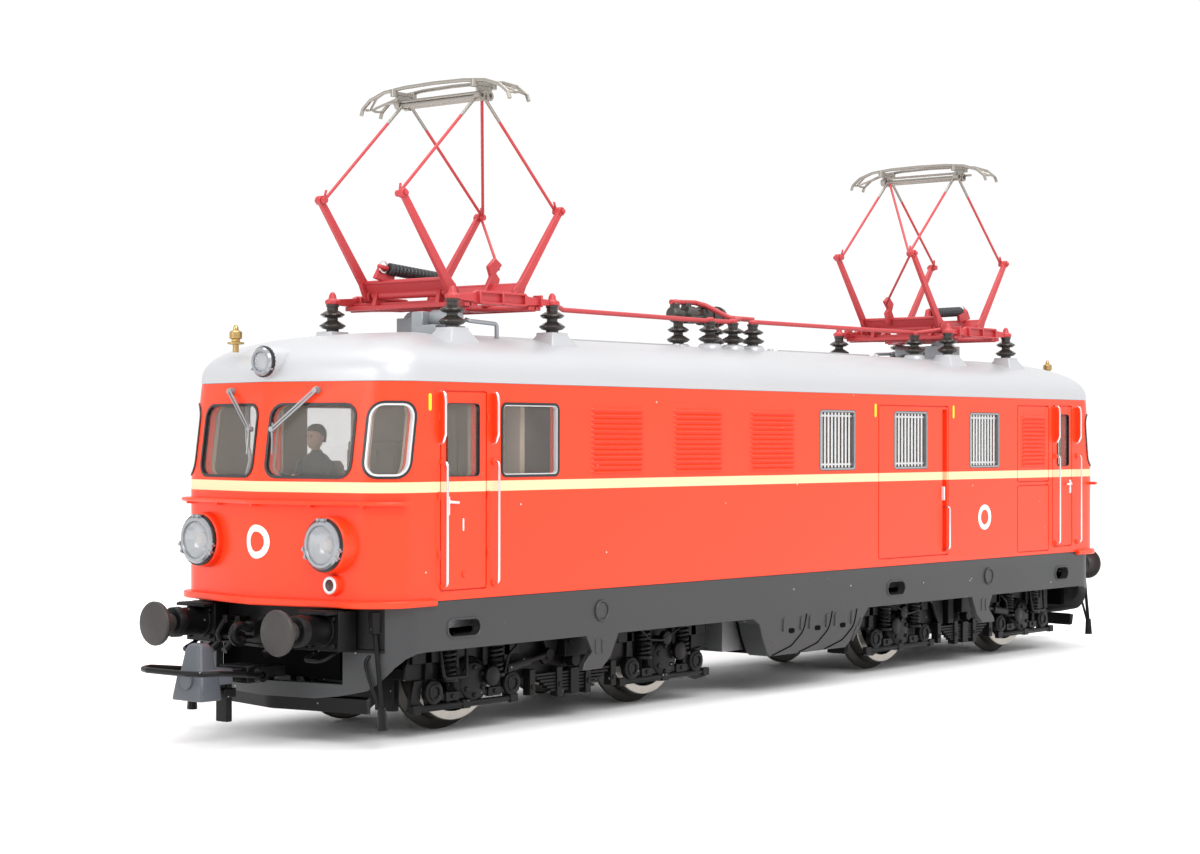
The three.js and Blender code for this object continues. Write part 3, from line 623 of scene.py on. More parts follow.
openings = {
    "cab": (-63.9, -54.05, 29.75, 37.95, 0.6), "door": [(-73.3, -67.9, 29.75, 37.95, 0.5),
                                                       (68.8, 72.5, 29.75, 37.95, 0.5)],
    "barred": [(1.3, 10.1, 29.75, 37.95, 0.5), (20.3, 29.3, 29.75, 37.95, 0.5),
               (41.5, 50.3, 29.75, 37.95, 0.5)],
    "screen": (1.17, 12.44, 29.75, 37.7, 1.4), "corner": (14.1, 19.55, 29.75, 37.95, 1.7),
}
doors = [(-74.35, -66.55, 16.9, 39.4), (67.2, 73.7, 16.9, 39.4), (16.1, 35.3, 16.9, 38.9)]
panels = [(55.9, 66.0, 27.3, 39.3), (55.9, 66.0, 16.4, 26.9)]
headlamp = {"y": 10.29, "z": 22.29, "bowl": 3.15, "front": 86.1}
tailLamp = {"y": -10.4, "z": 17.85}
lip = {"nose": 87.4, "halfWidth": 17.6, "corner": 6.0, "low": 15.4, "high": 16.15, "doorX": 75.2}


def windowHoles():
    holes = Shape()
    for hand in (-1, 1):
        for limits in [openings["cab"]] + openings["door"] + openings["barred"]:
            holes.plug(roundedLoop(*limits), sideSkin(hand), -3, 1)
        for end in ends.values():
            for limits, cuts in ((openings["screen"], 2), (openings["corner"], 6)):
                loop = [(hand * u, v) for u, v in roundedLoop(*limits, 5, cuts)]
                holes.take(Shape().plug(loop, endSkin, -3, 1), end)
    return holes


def walls(levels, outside, inside):  # the body's walls between two insets
    rings = []
    for inset, heights in ((outside, levels), (inside, levels[::-1])):
        for z in heights:
            rings.append([(x, y, z) for x, y in planOutline(noseAt(z) - inset, body["halfWidth"] - inset,
                                                            body["corner"] - inset)])
    return Shape().stack(rings, around=True)


def makeBody():
    shell = walls((body["bottom"], 22, body["belt"], 34, body["gutter"]), 0, body["wall"])
    lining = windowHoles().box(-56.7, 56.7, -20, 20, 15, 45)
    piece("cabLinings", walls((20.4, body["belt"], 34, 40.2), 1.3, 1.7), cabBeige, cutter=lining)
    cutter = windowHoles()
    for hand in (-1, 1):
        at = sideSkin(hand)
        for x0, x1, z0, z1 in doors + panels:
            cutter.frame(roundedLoop(x0, x1, z0, z1, 0.3, 2),
                         roundedLoop(x0 + 0.2, x1 - 0.2, z0 + 0.2, z1 - 0.2, 0.1, 2), at, -0.3, 1)
        cutter.plug(roundedLoop(33.5, 34.85, 17.4, 38.4, 0.2, 2), at, -0.7, 1)
        for end in ends.values():
            cutter.take(Shape().rod((-90, hand * headlamp["y"], headlamp["z"]),
                                    (-78, hand * headlamp["y"], headlamp["z"]), 2.5, 24), end)
    piece("bodyShell", shell, redBody, replaces="body_shell", slot="red_body", cutter=cutter, smooth=25)

    outer = [p for p in planOutline(lip["nose"], lip["halfWidth"], lip["corner"]) if p[0] > 60]
    outer.sort(key=lambda p: p[1])
    outer = [(lip["doorX"], -lip["halfWidth"])] + outer + [(lip["doorX"], lip["halfWidth"])]
    inner = [(x, y) for x, y in planOutline(85.6, 16.4, 4.6) if x > 60]
    inner.sort(key=lambda p: -p[1])
    inner = [(lip["doorX"], 16.4)] + inner + [(lip["doorX"], -16.4)]
    skirt = Shape().prism(outer + inner, "z", lip["low"], lip["high"])
    piece("bodyLip", Shape().take(skirt, *ends.values()), redPlain, bevel=0.12, slot="red_body")

    rail = {"z": 26.85, "reach": 19.2, "out": 1.15, "thick": 0.42}
    trim = Shape()
    steps = 60
    rings = []
    for i in range(steps + 1):
        s = -rail["reach"] + 2 * rail["reach"] * i / steps
        rings.append([endSkin(s, rail["z"] + dz, out) for dz, out in
                      ((-rail["thick"] / 2, 0.15), (-rail["thick"] / 2, rail["out"] - 0.12), (0, rail["out"]),
                       (rail["thick"] / 2, rail["out"] - 0.12), (rail["thick"] / 2, 0.15))])
    trim.stack(rings)
    for s in (-14.3, -7.6, 0, 7.6, 14.3):
        low = endSkin(s, rail["z"] - 0.15, 0)
        trim.rod(low, endSkin(s, rail["z"] - 0.15, 0.75), 0.36, 8)
    piece("endRails", Shape().take(trim, *ends.values()), redPlain, slot="red_body")


def makeWindows():
    seals, whites, greys, panes = Shape(), Shape(), Shape(), Shape()

    def window(limits, at, cuts=0, seal=0.2, inner=0.0, steps=4):
        loop = roundedLoop(*limits, steps, cuts)
        ring = roundedLoop(*grow(limits, seal), steps, cuts)
        seals.frame(ring, roundedLoop(*grow(limits, -0.07), steps, cuts), at, -0.4, 0.13)
        if inner:
            whites.frame(roundedLoop(*grow(limits, -0.08), steps, cuts),
                         roundedLoop(*grow(limits, -0.08 - inner), steps, cuts), at, -0.5, 0.03)
        panes.plug(loop, at, -0.45, -0.2)
    for hand in (-1, 1):
        at = sideSkin(hand)
        window(openings["cab"], at, seal=0.22, inner=0.12)
        for limits in openings["door"]:
            window(limits, at, seal=0.03)
        for limits in openings["barred"]:
            greys.frame(roundedLoop(*grow(limits, 0.05)), roundedLoop(*grow(limits, -0.25)), at, -0.6, 0.03)
            seals.frame(roundedLoop(*grow(limits, 0.1)), roundedLoop(*grow(limits, 0.02)), at, -0.4, 0.03)
            panes.plug(roundedLoop(*limits), at, -0.95, -0.75)
    singles = (seals, whites, greys, panes)
    side = [Shape().take(s) for s in singles]
    for s in singles:
        s.verts, s.faces = [], []
    for hand in (-1, 1):
        def at(u, v, out, hand=hand):
            return endSkin(hand * u, v, out)
        window(openings["screen"], at, cuts=2, seal=0.24)
        window(openings["corner"], at, cuts=6, seal=0.2, inner=0.22, steps=6)
    both = [Shape().take(a).take(b, *ends.values()) for a, b in zip(side, singles)]
    piece("windowGaskets", both[0], gasketBlack, slot="black_plastic")
    piece("cornerWindowFrames", both[1], trimWhite)
    piece("barredWindowFrames", both[2], trimGrey)
    piece("windowPanes", both[3], paneClear, slot="clear_plastic",
          replaces=("glazing_front", "glazing_rear", "glazing_left", "glazing_right"))


def makeBars():
    bars = Shape()
    for hand in (-1, 1):
        for x0, x1, z0, z1, _ in openings["barred"]:
            y = hand * (body["halfWidth"] - 0.42)
            upright = Shape().rod((x0 + 0.95, y, z0 + 0.3), (x0 + 0.95, y, z1 - 0.3), 0.15, 6)
            bars.take(row(upright, 9, ((x1 - x0 - 1.9) / 8, 0, 0), railSilver))
            for z in (z0 + 0.75, z1 - 0.75):
                bars.box(x0 + 0.4, x1 - 0.4, y - 0.14, y + 0.14, z - 0.13, z + 0.13)
    piece("windowBars", bars, railSilver)


louvres = {"fields": [(-47.9, -37.7), (-31.6, -21.2), (-15.1, -4.75), (57.2, 64.9)],
           "low": 29.85, "count": 13, "pitch": 0.628, "proud": 0.3, "depth": 0.44}


def makeLouvres():
    slats = Shape()
    for x0, x1 in louvres["fields"]:
        rings = []
        for x, proud in ((x0, 0.02), (x0 + 0.35, 1), (x1 - 0.35, 1), (x1, 0.02)):
            out = louvres["proud"] * proud
            y = body["halfWidth"]
            rings.append([(x, y - 0.1, 0), (x, y + out, 0.02), (x, y + out, 0.12),
                          (x, y + out * 0.45, 0.3), (x, y - 0.1, louvres["depth"])])
        slat = Shape().stack(rings).moved(Matrix.Translation((0, 0, louvres["low"])))
        field = row(slat, louvres["count"], (0, 0, louvres["pitch"]), redPlain)
        slats.take(field, *bothSides)
    piece("louvreSlats", slats, redPlain, slot="red_body", smooth=30)


rails = {"long": [(-74.0, 17.5, 31.35), (-65.4, 17.5, 31.35), (68.2, 17.5, 31.35), (75.3, 17.5, 31.35),
                  (34.3, 17.8, 24.0)],
         "fins": [-74.35, -65.55, 68.0, 75.1], "out": 0.85, "radius": 0.15}


def makeHandrails():
    y = body["halfWidth"]
    paths = []
    for x, low, high in rails["long"]:
        paths.append([(x, y - 0.2, low), (x, y + rails["out"], low), (x, y + rails["out"], high),
                      (x, y - 0.2, high)])
    for x in rails["fins"]:
        paths.append([(x, y - 0.2, 39.3), (x, y + 0.78, 39.1), (x, y + 0.88, 38.2), (x, y + 0.88, 34.4),
                      (x, y + 0.5, 33.6), (x, y - 0.2, 33.3)])
    metal = tubes(paths, rails["radius"], railSilver, bend=0.45)
    piece("handrails", Shape().take(metal, *bothSides), railSilver)
    fins = Shape()
    for x in rails["fins"]:
        fins.prism([(y - 0.1, 39.2), (y + 0.62, 39.0), (y + 0.76, 38.2), (y + 0.76, 34.5),
                    (y + 0.45, 33.8), (y - 0.1, 33.5)], "x", x - 0.14, x + 0.3)
    for x, low, high in rails["long"][:4]:
        fins.turned([(0.42, -0.1), (0.4, 0.22), (0.24, 0.3)], (x, y, low), "y", 10)
        fins.turned([(0.42, -0.1), (0.4, 0.22), (0.24, 0.3)], (x, y, high), "y", 10)
    fins.turned([(0.45, -0.1), (0.45, 0.12), (0.3, 0.2)], (-70.3, y, 18.7), "y", 12)
    fins.turned([(0.45, -0.1), (0.45, 0.12), (0.3, 0.2)], (69.9, y, 18.7), "y", 12)
    for x in (-74.5, -66.35):
        for z in (21, 27.6, 36.4):
            fins.box(x - 0.18, x + 0.18, y - 0.1, y + 0.14, z - 0.45, z + 0.45)
    piece("doorFins", Shape().take(fins, *bothSides), redPlain, slot="red_body",
          bevel=0.05)
    marks = Shape()
    for x, way in ((-73.1, 1), (72.9, -1)):
        marks.box(x - 0.22, x + 0.22, y - 0.1, y + 0.2, 25.4, 27.5)
        marks.rod((x, y + 0.3, 26.9), (x + way * 1.5, y + 0.36, 26.8), 0.17, 8)
        marks.rod((x, y - 0.1, 26.9), (x, y + 0.4, 26.9), 0.24, 8)
    marks.box(33.35, 33.65, y - 0.1, y + 0.42, 25, 27)
    piece("doorHandles", Shape().take(marks, *bothSides), trimWhite, bevel=0.04)
    yellow = Shape()
    for x in (-76.0, 15.3, 36.7):
        yellow.plug(roundedLoop(x - 0.22, x + 0.22, 37.1, 39.0, 0.2, 3), sideSkin(1), -0.05, 0.04)
    piece("yellowMarks", Shape().take(yellow, *bothSides), markYellow)
    white = Shape()
    ring = {"outer": 1.9, "inner": 1.15}
    circle = [(math.cos(i * math.pi / 16), math.sin(i * math.pi / 16)) for i in range(32)]

    def annulus(u, v, at):
        white.frame([(u + ring["outer"] * a, v + ring["outer"] * b) for a, b in circle],
                    [(u + ring["inner"] * a, v + ring["inner"] * b) for a, b in circle], at, -0.05, 0.04)
    for hand in (-1, 1):
        annulus(45.9, 22.2, sideSkin(hand))
    white.plug(roundedLoop(-70.6, -70.4, 23.6, 25.0, 0.08, 2), sideSkin(-1), -0.05, 0.03)
    front = Shape()
    front.frame([(ring["outer"] * a, 22.4 + ring["outer"] * b) for a, b in circle],
                [(ring["inner"] * a, 22.4 + ring["inner"] * b) for a, b in circle],
                endSkin, -0.05, 0.04)
    piece("roundMarks", white.take(front, *ends.values()), markWhite)


makeBody()
makeWindows()
makeBars()
makeLouvres()
makeHandrails()
print("body, windows and rails made")

# Lamps, wipers and horns on the ends

def hoop(profile, centre, axis="x", sides=24):  # a closed profile of (radius, distance) taken round
    rings = []
    for i in range(sides):
        angle = 2 * math.pi * i / sides
        c, s = math.cos(angle), math.sin(angle)
        ring = []
        for radius, along in profile:
            point = {"x": (along, radius * c, radius * s), "y": (radius * s, along, radius * c),
                     "z": (radius * c, radius * s, along)}[axis]
            ring.append(Vector(point) + Vector(centre))
        rings.append(ring)
    return Shape().stack(rings, around=True)


def makeLamps():
    bowls, sealRings, rims, mirrors, bulbs, lenses = [Shape() for _ in range(6)]
    for hand in (-1, 1):
        at = (-headlamp["front"], hand * headlamp["y"], headlamp["z"])
        bowls.take(hoop([(2.45, 3.6), (3.3, 3.6), (headlamp["bowl"], 0.62), (3.0, 0.45), (2.45, 0.45)], at))
        sealRings.take(hoop([(2.3, 0.6), (2.98, 0.6), (2.98, 0.22), (2.3, 0.22)], at))
        rims.take(hoop([(2.12, 0.3), (2.72, 0.3), (2.74, 0.02), (2.5, -0.2), (2.2, -0.2), (2.1, 0.0)], at))
        for angle in (90, 200, 340):
            a = math.radians(angle)
            side = Vector((0, math.cos(a), math.sin(a)))
            across = Vector((0, -math.sin(a), math.cos(a)))
            lug = Vector(at) + side * 2.78
            for k in (-0.42, 0.42):
                rims.rod(lug + across * k + Vector((0.35, 0, 0)), lug + across * k + Vector((-0.22, 0, 0)),
                         0.2, 6)
            rims.rod(lug - across * 0.75, lug + across * 0.75, 0.14, 6)
        mirrors.turned([(0, 1.9), (2.28, 1.9), (2.3, 0.12), (2.12, 0.1), (1.7, 0.6), (0.9, 1.05), (0, 1.2)],
                       at, "x", 24)
        bulbs.turned([(0, 1.3), (0.75, 1.25), (0.8, 0.7), (0.5, 0.35), (0, 0.25)], at, "x", 12)
        lenses.turned([(0, 0.1), (2.15, 0.1), (2.14, -0.02), (1.5, -0.2), (0.7, -0.28), (0, -0.3)], at, "x",
                      24)
    roofAt = (-85.5, 0, 42.6)
    sealRings.take(hoop([(1.2, 0.5), (1.78, 0.5), (1.78, 0.15), (1.2, 0.15)], roofAt))
    rims.take(hoop([(1.12, 0.3), (1.62, 0.3), (1.64, 0.0), (1.45, -0.25), (1.15, -0.25)], roofAt))
    for angle in (90, 210, 330):
        a = math.radians(angle)
        rims.rod((-85.2, 1.68 * math.cos(a), 42.6 + 1.68 * math.sin(a)),
                 (-85.68, 1.68 * math.cos(a), 42.6 + 1.68 * math.sin(a)), 0.16, 6)
    mirrors.turned([(0, 1.2), (1.25, 1.2), (1.26, 0.05), (1.1, 0.02), (0.7, 0.5), (0, 0.7)], roofAt, "x", 20)
    bulbs.turned([(0, 0.8), (0.4, 0.7), (0.38, 0.3), (0, 0.15)], roofAt, "x", 10)
    lenses.turned([(0, 0.05), (1.16, 0.05), (1.14, -0.05), (0.6, -0.22), (0, -0.26)], roofAt, "x", 20)
    tail = (-84.9, tailLamp["y"], tailLamp["z"])
    bowls.take(hoop([(0.7, 2.2), (1.22, 2.2), (1.15, 0.1), (1.0, 0.0), (0.7, 0.0)], tail, sides=20))
    ring = hoop([(0.66, 0.2), (1.0, 0.2), (1.0, -0.08), (0.9, -0.16), (0.66, -0.1)], tail, sides=20)
    red = Shape().turned([(0, 0.8), (0.72, 0.8), (0.7, 0.0), (0.35, -0.08), (0, -0.1)], tail, "x", 16)
    parts = [("lampBowls", bowls, redPlain, "red_body"), ("lampSeals", sealRings, gasketBlack, None),
             ("lampRims", rims, rimGrey, None), ("lampMirrors", mirrors, chrome, None),
             ("lampBulbs", bulbs, bulbGlass, None), ("tailLampRings", ring, trimWhite, None),
             ("tailLampLenses", red, tailRed, None)]
    for name, shape, material, slotName in parts:
        piece(name, Shape().take(shape, *ends.values()), material, slot=slotName)
    piece("lampLenses", Shape().take(lenses, *ends.values()), lensClear, slot="clear_plastic",
          replaces=("light_guide_front", "light_guide_rear"))


wiper = {"pivot": (7.1, 39.35), "elbow": (1.75, 35.0), "blade": ((1.75, 35.7), (2.05, 32.2)), "out": 0.62}


def makeWipers():
    arms = Shape()
    for hand in (-1, 1):
        def at(s, z, out):
            return endSkin(hand * s, z, out)
        (s0, z0), (s1, z1) = wiper["pivot"], wiper["elbow"]
        for shift in (-0.22, 0.22):
            arms.rod(at(s0, z0 + shift, wiper["out"]), at(s1 + 0.1, z1 + shift, wiper["out"]), 0.13, 6, 0.11)
        for s, z in (wiper["pivot"], wiper["elbow"]):
            arms.rod(at(s, z, 0.2), at(s, z, wiper["out"] + 0.16), 0.3, 10)
            arms.rod(at(s, z - 0.3, wiper["out"]), at(s, z + 0.3, wiper["out"]), 0.16, 6)
        arms.rod(at(s0, z0, -0.1), at(s0, z0, 0.4), 0.42, 10)
        (b0, c0), (b1, c1) = wiper["blade"]
        arms.rod(at(b0, c0, wiper["out"] - 0.1), at(b1, c1, wiper["out"] - 0.2), 0.1, 6)
        arms.rod(at(s1, z1, wiper["out"]), at((b0 + b1) / 2, (c0 + c1) / 2, wiper["out"] - 0.15), 0.11, 6)
    piece("wipers", Shape().take(arms, *ends.values()), trimGrey)
    horn = Shape().turned([(0.36, -0.5), (0.36, 0.35), (0.98, 0.45), (0.98, 0.66), (0.48, 0.76),
                           (0.52, 1.0), (0.74, 1.1), (0.74, 1.85), (0.55, 2.0), (0.32, 2.1),
                           (0.3, 2.4), (0.14, 2.68)], (-82.2, 8, 44.4), "z", 20)
    for end, turn in ends.items():
        piece(f"horn_{end}", horn.moved(turn), brass, replaces=f"whistle_{end}", slot="brass")


makeLamps()
makeWipers()
print("lamps, wipers and horns made")


# Roof

roof = {"rise": 6.35, "round": 2.3, "flatEnd": 58.0, "endRound": 2.6, "base": 40.3, "padTop": 46.95}
panto = {"centre": 55.85, "baseZ": 51.35, "pivotX": 5.7, "armY": 6.85, "kneeX": 14.05, "kneeZ": 62.4,
         "topX": 0.75, "topZ": 75.15, "insulatorX": 8.97, "insulatorY": 9.95}
gear = {"x": [-9.1, -3.8, 0.9], "y": -6.0, "farX": 43.6}


def roofLevel(rise):
    width = body["halfWidth"] * (1 - rise ** roof["round"]) ** (1 / roof["round"])
    reach = noseAt(body["gutter"]) - roof["flatEnd"]
    nose = roof["flatEnd"] + reach * (1 - rise ** roof["endRound"]) ** (1 / roof["endRound"])
    return planOutline(nose, width, body["corner"] * 0.96 * width / body["halfWidth"])


def roofHeight(y):
    share = 1 - (abs(y) / body["halfWidth"]) ** roof["round"]
    return roof["base"] + roof["rise"] * share ** (1 / roof["round"])


def pad(shape, x, y, low, top, wide, deep, topWide, topDeep):
    shape.stack([[(x + a * w, y + b * d, z) for a, b in ((-1, -1), (1, -1), (1, 1), (-1, 1))]
                 for z, w, d in ((low, wide, deep), (top - 0.35, topWide, topDeep), (top, topWide, topDeep))])


def makeRoof():
    dome = Shape()
    steps = 16
    levels = [math.sin(i / steps * math.pi * 0.485) for i in range(steps + 1)]
    dome.stack([[(x, y, roof["base"] + 0.05) for x, y in roofLevel(0)]]
               + [[(x, y, roof["base"] + 0.25 + (roof["rise"] - 0.25) * rise) for x, y in roofLevel(rise)]
                  for rise in levels])
    piece("roofShell", dome, silverRoof, replaces="roof_shell", slot="silver_roof", smooth=60)
    fittings = Shape()
    half = Shape().turned([(1.72, -85.3), (1.78, -85.0), (1.86, -80), (1.9, -77)], (0, 0, 42.6), "x", 24)
    for dx in (-panto["insulatorX"], panto["insulatorX"]):
        for hand in (-1, 1):
            pad(half, -panto["centre"] + dx, hand * panto["insulatorY"], 45.0, roof["padTop"], 2.7, 2.3,
                1.5, 1.35)
    half.box(-60.2, -54.6, -1.6, 1.6, 46.2, 46.9)
    fittings.take(half, *ends.values())
    for x in gear["x"] + [gear["farX"]]:
        fittings.turned([(1.75, 45.6), (1.6, 46.6), (1.35, 46.95)], (x, gear["y"], 0), "z", 16)
    for x in (-6.4, 2.0):
        fittings.turned([(1.7, 46), (1.6, 46.9), (1.4, 47.15)], (x, 1.5, 0), "z", 16)
    for y in (-2.6, 3.9):
        for x0, x1 in ((-38, -14), (12, 36)):
            fittings.box(x0, x1, y - 0.22, y + 0.22, roofHeight(y) - 0.4, roofHeight(y) + 0.22)
    for x0, x1, y0, y1 in ((-33, -18, -1.9, 3.2), (16, 31, -1.9, 3.2)):
        fittings.stack([[(x0 - s, y0 - s, z), (x1 + s, y0 - s, z), (x1 + s, y1 + s, z), (x0 - s, y1 + s, z)]
                        for z, s in ((45.9, 0.4), (46.75, 0.1), (46.9, -0.1))])
    for x in (-40, -12, 10, 38):
        fittings.turned([(0.5, 46.2), (0.5, 46.75), (0.3, 46.95)], (x, -2.6, 0), "z", 10)
    piece("roofFittings", fittings, silverRoof, slot="silver_roof", bevel=0.14, segments=2)
    drive = Shape()
    drive.turned([(0.9, -8.9), (1.05, -8.7), (1.05, -4.9), (0.8, -4.7)], (-62.6, 0, 48.2), "y", 18)
    drive.turned([(0.6, -4.9), (0.6, -2.4)], (-62.6, 0, 48.2), "y", 12)
    drive.box(-64.6, -61.2, -4.9, -3.1, 46.3, 49.0)
    drive.box(-65.9, -60.6, -8.2, -5.0, 45.9, 47.3)
    drive.take(tubes([[(-60.9, -8.4, 48.1), (-60.9, -9.0, 47.9), (-56.0, -9.0, 47.7), (-56.0, -9.0, 45.4)],
                      [(-62.6, -2.6, 48.2), (-58.4, -2.6, 48.2), (-58.4, -2.6, 46.0)]],
                     0.28, motorGrey, bend=0.4))
    drive.box(-58.6, -53.4, 1.9, 5.2, 46.2, 48.7)
    for x in (-57.6, -56.2, -54.8):
        drive.turned([(1.5, x - 0.22), (1.5, x + 0.22)], (0, 3.5, 48.0), "x", 14)
    piece("roofDrives", Shape().take(drive, *ends.values()), motorGrey, bevel=0.08)


insulatorForm = [(0.95, 0), (0.95, 0.32), (1.55, 0.42), (1.98, 0.72), (1.95, 0.86), (1.3, 1.2),
                 (0.82, 1.42), (0.82, 1.72), (1.4, 1.8), (1.84, 2.08), (1.8, 2.22), (1.2, 2.52),
                 (0.85, 2.66), (0.85, 3.05), (0.98, 3.1), (0.98, 3.4), (0.6, 3.42)]


def insulator(x, y, low, tall=1.0):
    return Shape().turned([(r * 0.82, z * tall) for r, z in insulatorForm], (x, y, low), "z", 20)


def makeRoofLine():
    for name, xs, points in (
            ("front", gear["x"][:2], [(-45.5, -8.2, 50.7), (-43.8, -7.7, 50.65), (-41.3, -7, 50.1),
                                      (-11, -6, 50.05),
                                      (-3.4, -6, 50.1)]),
            ("rear", gear["x"][2:] + [gear["farX"]], [(0.5, -6, 50.1), (1.5, -6, 50.3), (44, -6, 50.35),
                                                      (47.2, -8.4, 50.9)])):
        bar = tubes([points], 0.32, rodRed, bend=1.2, sides=10)
        for x in xs:
            bar.turned([(0.62, 49.9), (0.62, 50.3), (0.4, 50.55)], (x, gear["y"], 0), "z", 10)
        piece(f"roofLine_{name}", bar, rodRed, replaces=f"busbar_{name}", slot="red_rod")
    posts = Shape()
    for x in gear["x"] + [gear["farX"]]:
        posts.take(insulator(x, gear["y"], 46.9, 0.9))
    piece("roofLineInsulators", posts, insulatorBrown, slot="insulator_black")
    breaker = Shape()
    for x in (-6.4, 2.0):
        breaker.take(insulator(x, 1.5, 47.0, 1.0))
    breaker.turned([(0.7, -8.0), (1.0, -7.9), (1.0, -6.9), (0.75, -6.8), (0.75, -5.2), (1.25, -5.0),
                    (1.25, -3.2), (1.0, -3.0), (1.0, -1.6), (1.35, -1.4), (1.35, 3.3), (1.1, 3.6)],
                   (0, 1.5, 51.3), "x", 20)
    breaker.turned([(0.55, 50.2), (0.7, 50.4), (0.7, 52.7), (0.45, 53.0)], (-7.2, 1.5, 0), "z", 14)
    breaker.take(hoop([(1.3, -0.2), (1.5, -0.2), (1.5, 0.2), (1.3, 0.2)], (0.4, 1.5, 51.3)))
    breaker.take(hoop([(1.3, -0.2), (1.5, -0.2), (1.5, 0.2), (1.3, 0.2)], (2.6, 1.5, 51.3)))
    breaker.box(-5.2, -3.9, 1.1, 1.9, 51.8, 52.9)
    piece("breakerBody", breaker, insulatorBrown, replaces="main_breaker", slot="black_plastic")
    bar = tubes([[(-8.1, 1.5, 52.95), (-2.6, 1.5, 53.1), (-1.2, 0.6, 52.7), (0.4, -2.4, 50.95),
                  (3.5, -4.3, 50.75)],
                 [(-3.6, -6, 50.4), (0.2, -4.4, 50.75), (2.4, -4.3, 50.75)]],
                0.36, rodRed, bend=0.8, sides=10)
    bar.turned([(0.6, 52.6), (0.6, 53.1), (0.3, 53.35)], (-7.2, 1.5, 0), "z", 10)
    piece("breakerBar", bar, rodRed, slot="red_rod")


makeRoof()
makeRoofLine()
print("roof made")


# Pantographs, written about their own centre for the front end

def barOutline(a, b, wideA, wideB):  # a tapered bar with round ends, in X and Z
    a, b = Vector(a), Vector(b)
    along = (b - a).normalized()
    start = math.atan2(along.y, along.x)
    points = []
    for centre, size, first in ((b, wideB, start - math.pi / 2), (a, wideA, start + math.pi / 2)):
        for i in range(7):
            angle = first + math.pi * i / 6
            points.append((centre.x + size * math.cos(angle), centre.y + size * math.sin(angle)))
    return points


def pantographFrame():
    base, posts = Shape(), Shape()
    y, px, lx = panto["insulatorY"], panto["pivotX"], panto["insulatorX"]
    beam = [(-lx - 0.9, 50.3), (-lx - 0.9, 50.85), (-5.4, 51.2), (-4.8, 51.5), (3.4, 51.5), (4.4, 51.15),
            (lx + 0.9, 50.85), (lx + 0.9, 50.3), (4.4, 50.1), (3.2, 49.85), (-4.6, 49.85), (-5.6, 50.1)]
    for hand in (-1, 1):
        base.prism(beam, "y", hand * y - 0.28, hand * y + 0.28)
        for x0, x1 in ((-4.7, -0.9), (-0.6, 3.3)):
            for z in (50.0, 51.3):
                base.box(x0, x1, hand * y - 0.75, hand * y + 0.75, z - 0.13, z + 0.16)
        for x in (-4.75, -0.75, 3.35, 6.3):
            base.box(x - 0.16, x + 0.16, hand * y - 0.72, hand * y + 0.72, 49.95, 51.4)
        for x in (-lx, lx):
            base.turned([(0.9, 50.3), (0.95, 50.75), (0.5, 51.0), (0.42, 51.45), (0.2, 51.8)],
                        (x, hand * y, 0), "z", 12)
            posts.take(insulator(x, hand * y, 46.9, 1.0))
        for x in (-px, px):
            base.prism([(x - 1.1, 49.9), (x + 1.1, 49.9), (x + 0.6, 51.7), (x + 0.2, 52.0), (x - 0.2, 52.0),
                        (x - 0.6, 51.7)], "y", hand * 5.25 - 0.3, hand * 5.25 + 0.3)
    for x in (-px, px):
        base.box(x - 1.15, x + 1.15, -y, y, 49.55, 50.1)
        base.box(x - 0.25, x + 0.25, -y, y, 49.4, 50.5)
        base.rod((x, -6.1, panto["baseZ"]), (x, 6.1, panto["baseZ"]), 0.5, 12)
    for y0 in (-2.9, 1.7):
        base.box(-px, px, y0, y0 + 1.2, 49.5, 50.05)
    for x0, y0, x1, y1 in ((-px, -y, -1.2, -2.3), (px, -y, 1.2, -2.3), (-px, y, -1.2, 2.3),
                           (px, y, 1.2, 2.3)):
        base.rod((x0, y0, 49.8), (x1, y1, 49.8), 0.34, 8)
    base.box(-1.7, 2.2, -2.6, 2.6, 49.45, 50.25)
    base.prism([(-3.2, 50.0), (-0.6, 50.0), (-0.9, 51.2), (-1.7, 51.7), (-3.0, 51.2)], "y", -0.9, -0.3)
    base.prism([(2.0, 50.0), (5.0, 50.0), (3.4, 51.6), (2.4, 51.4)], "y", -5.2, -4.5)
    return base, posts


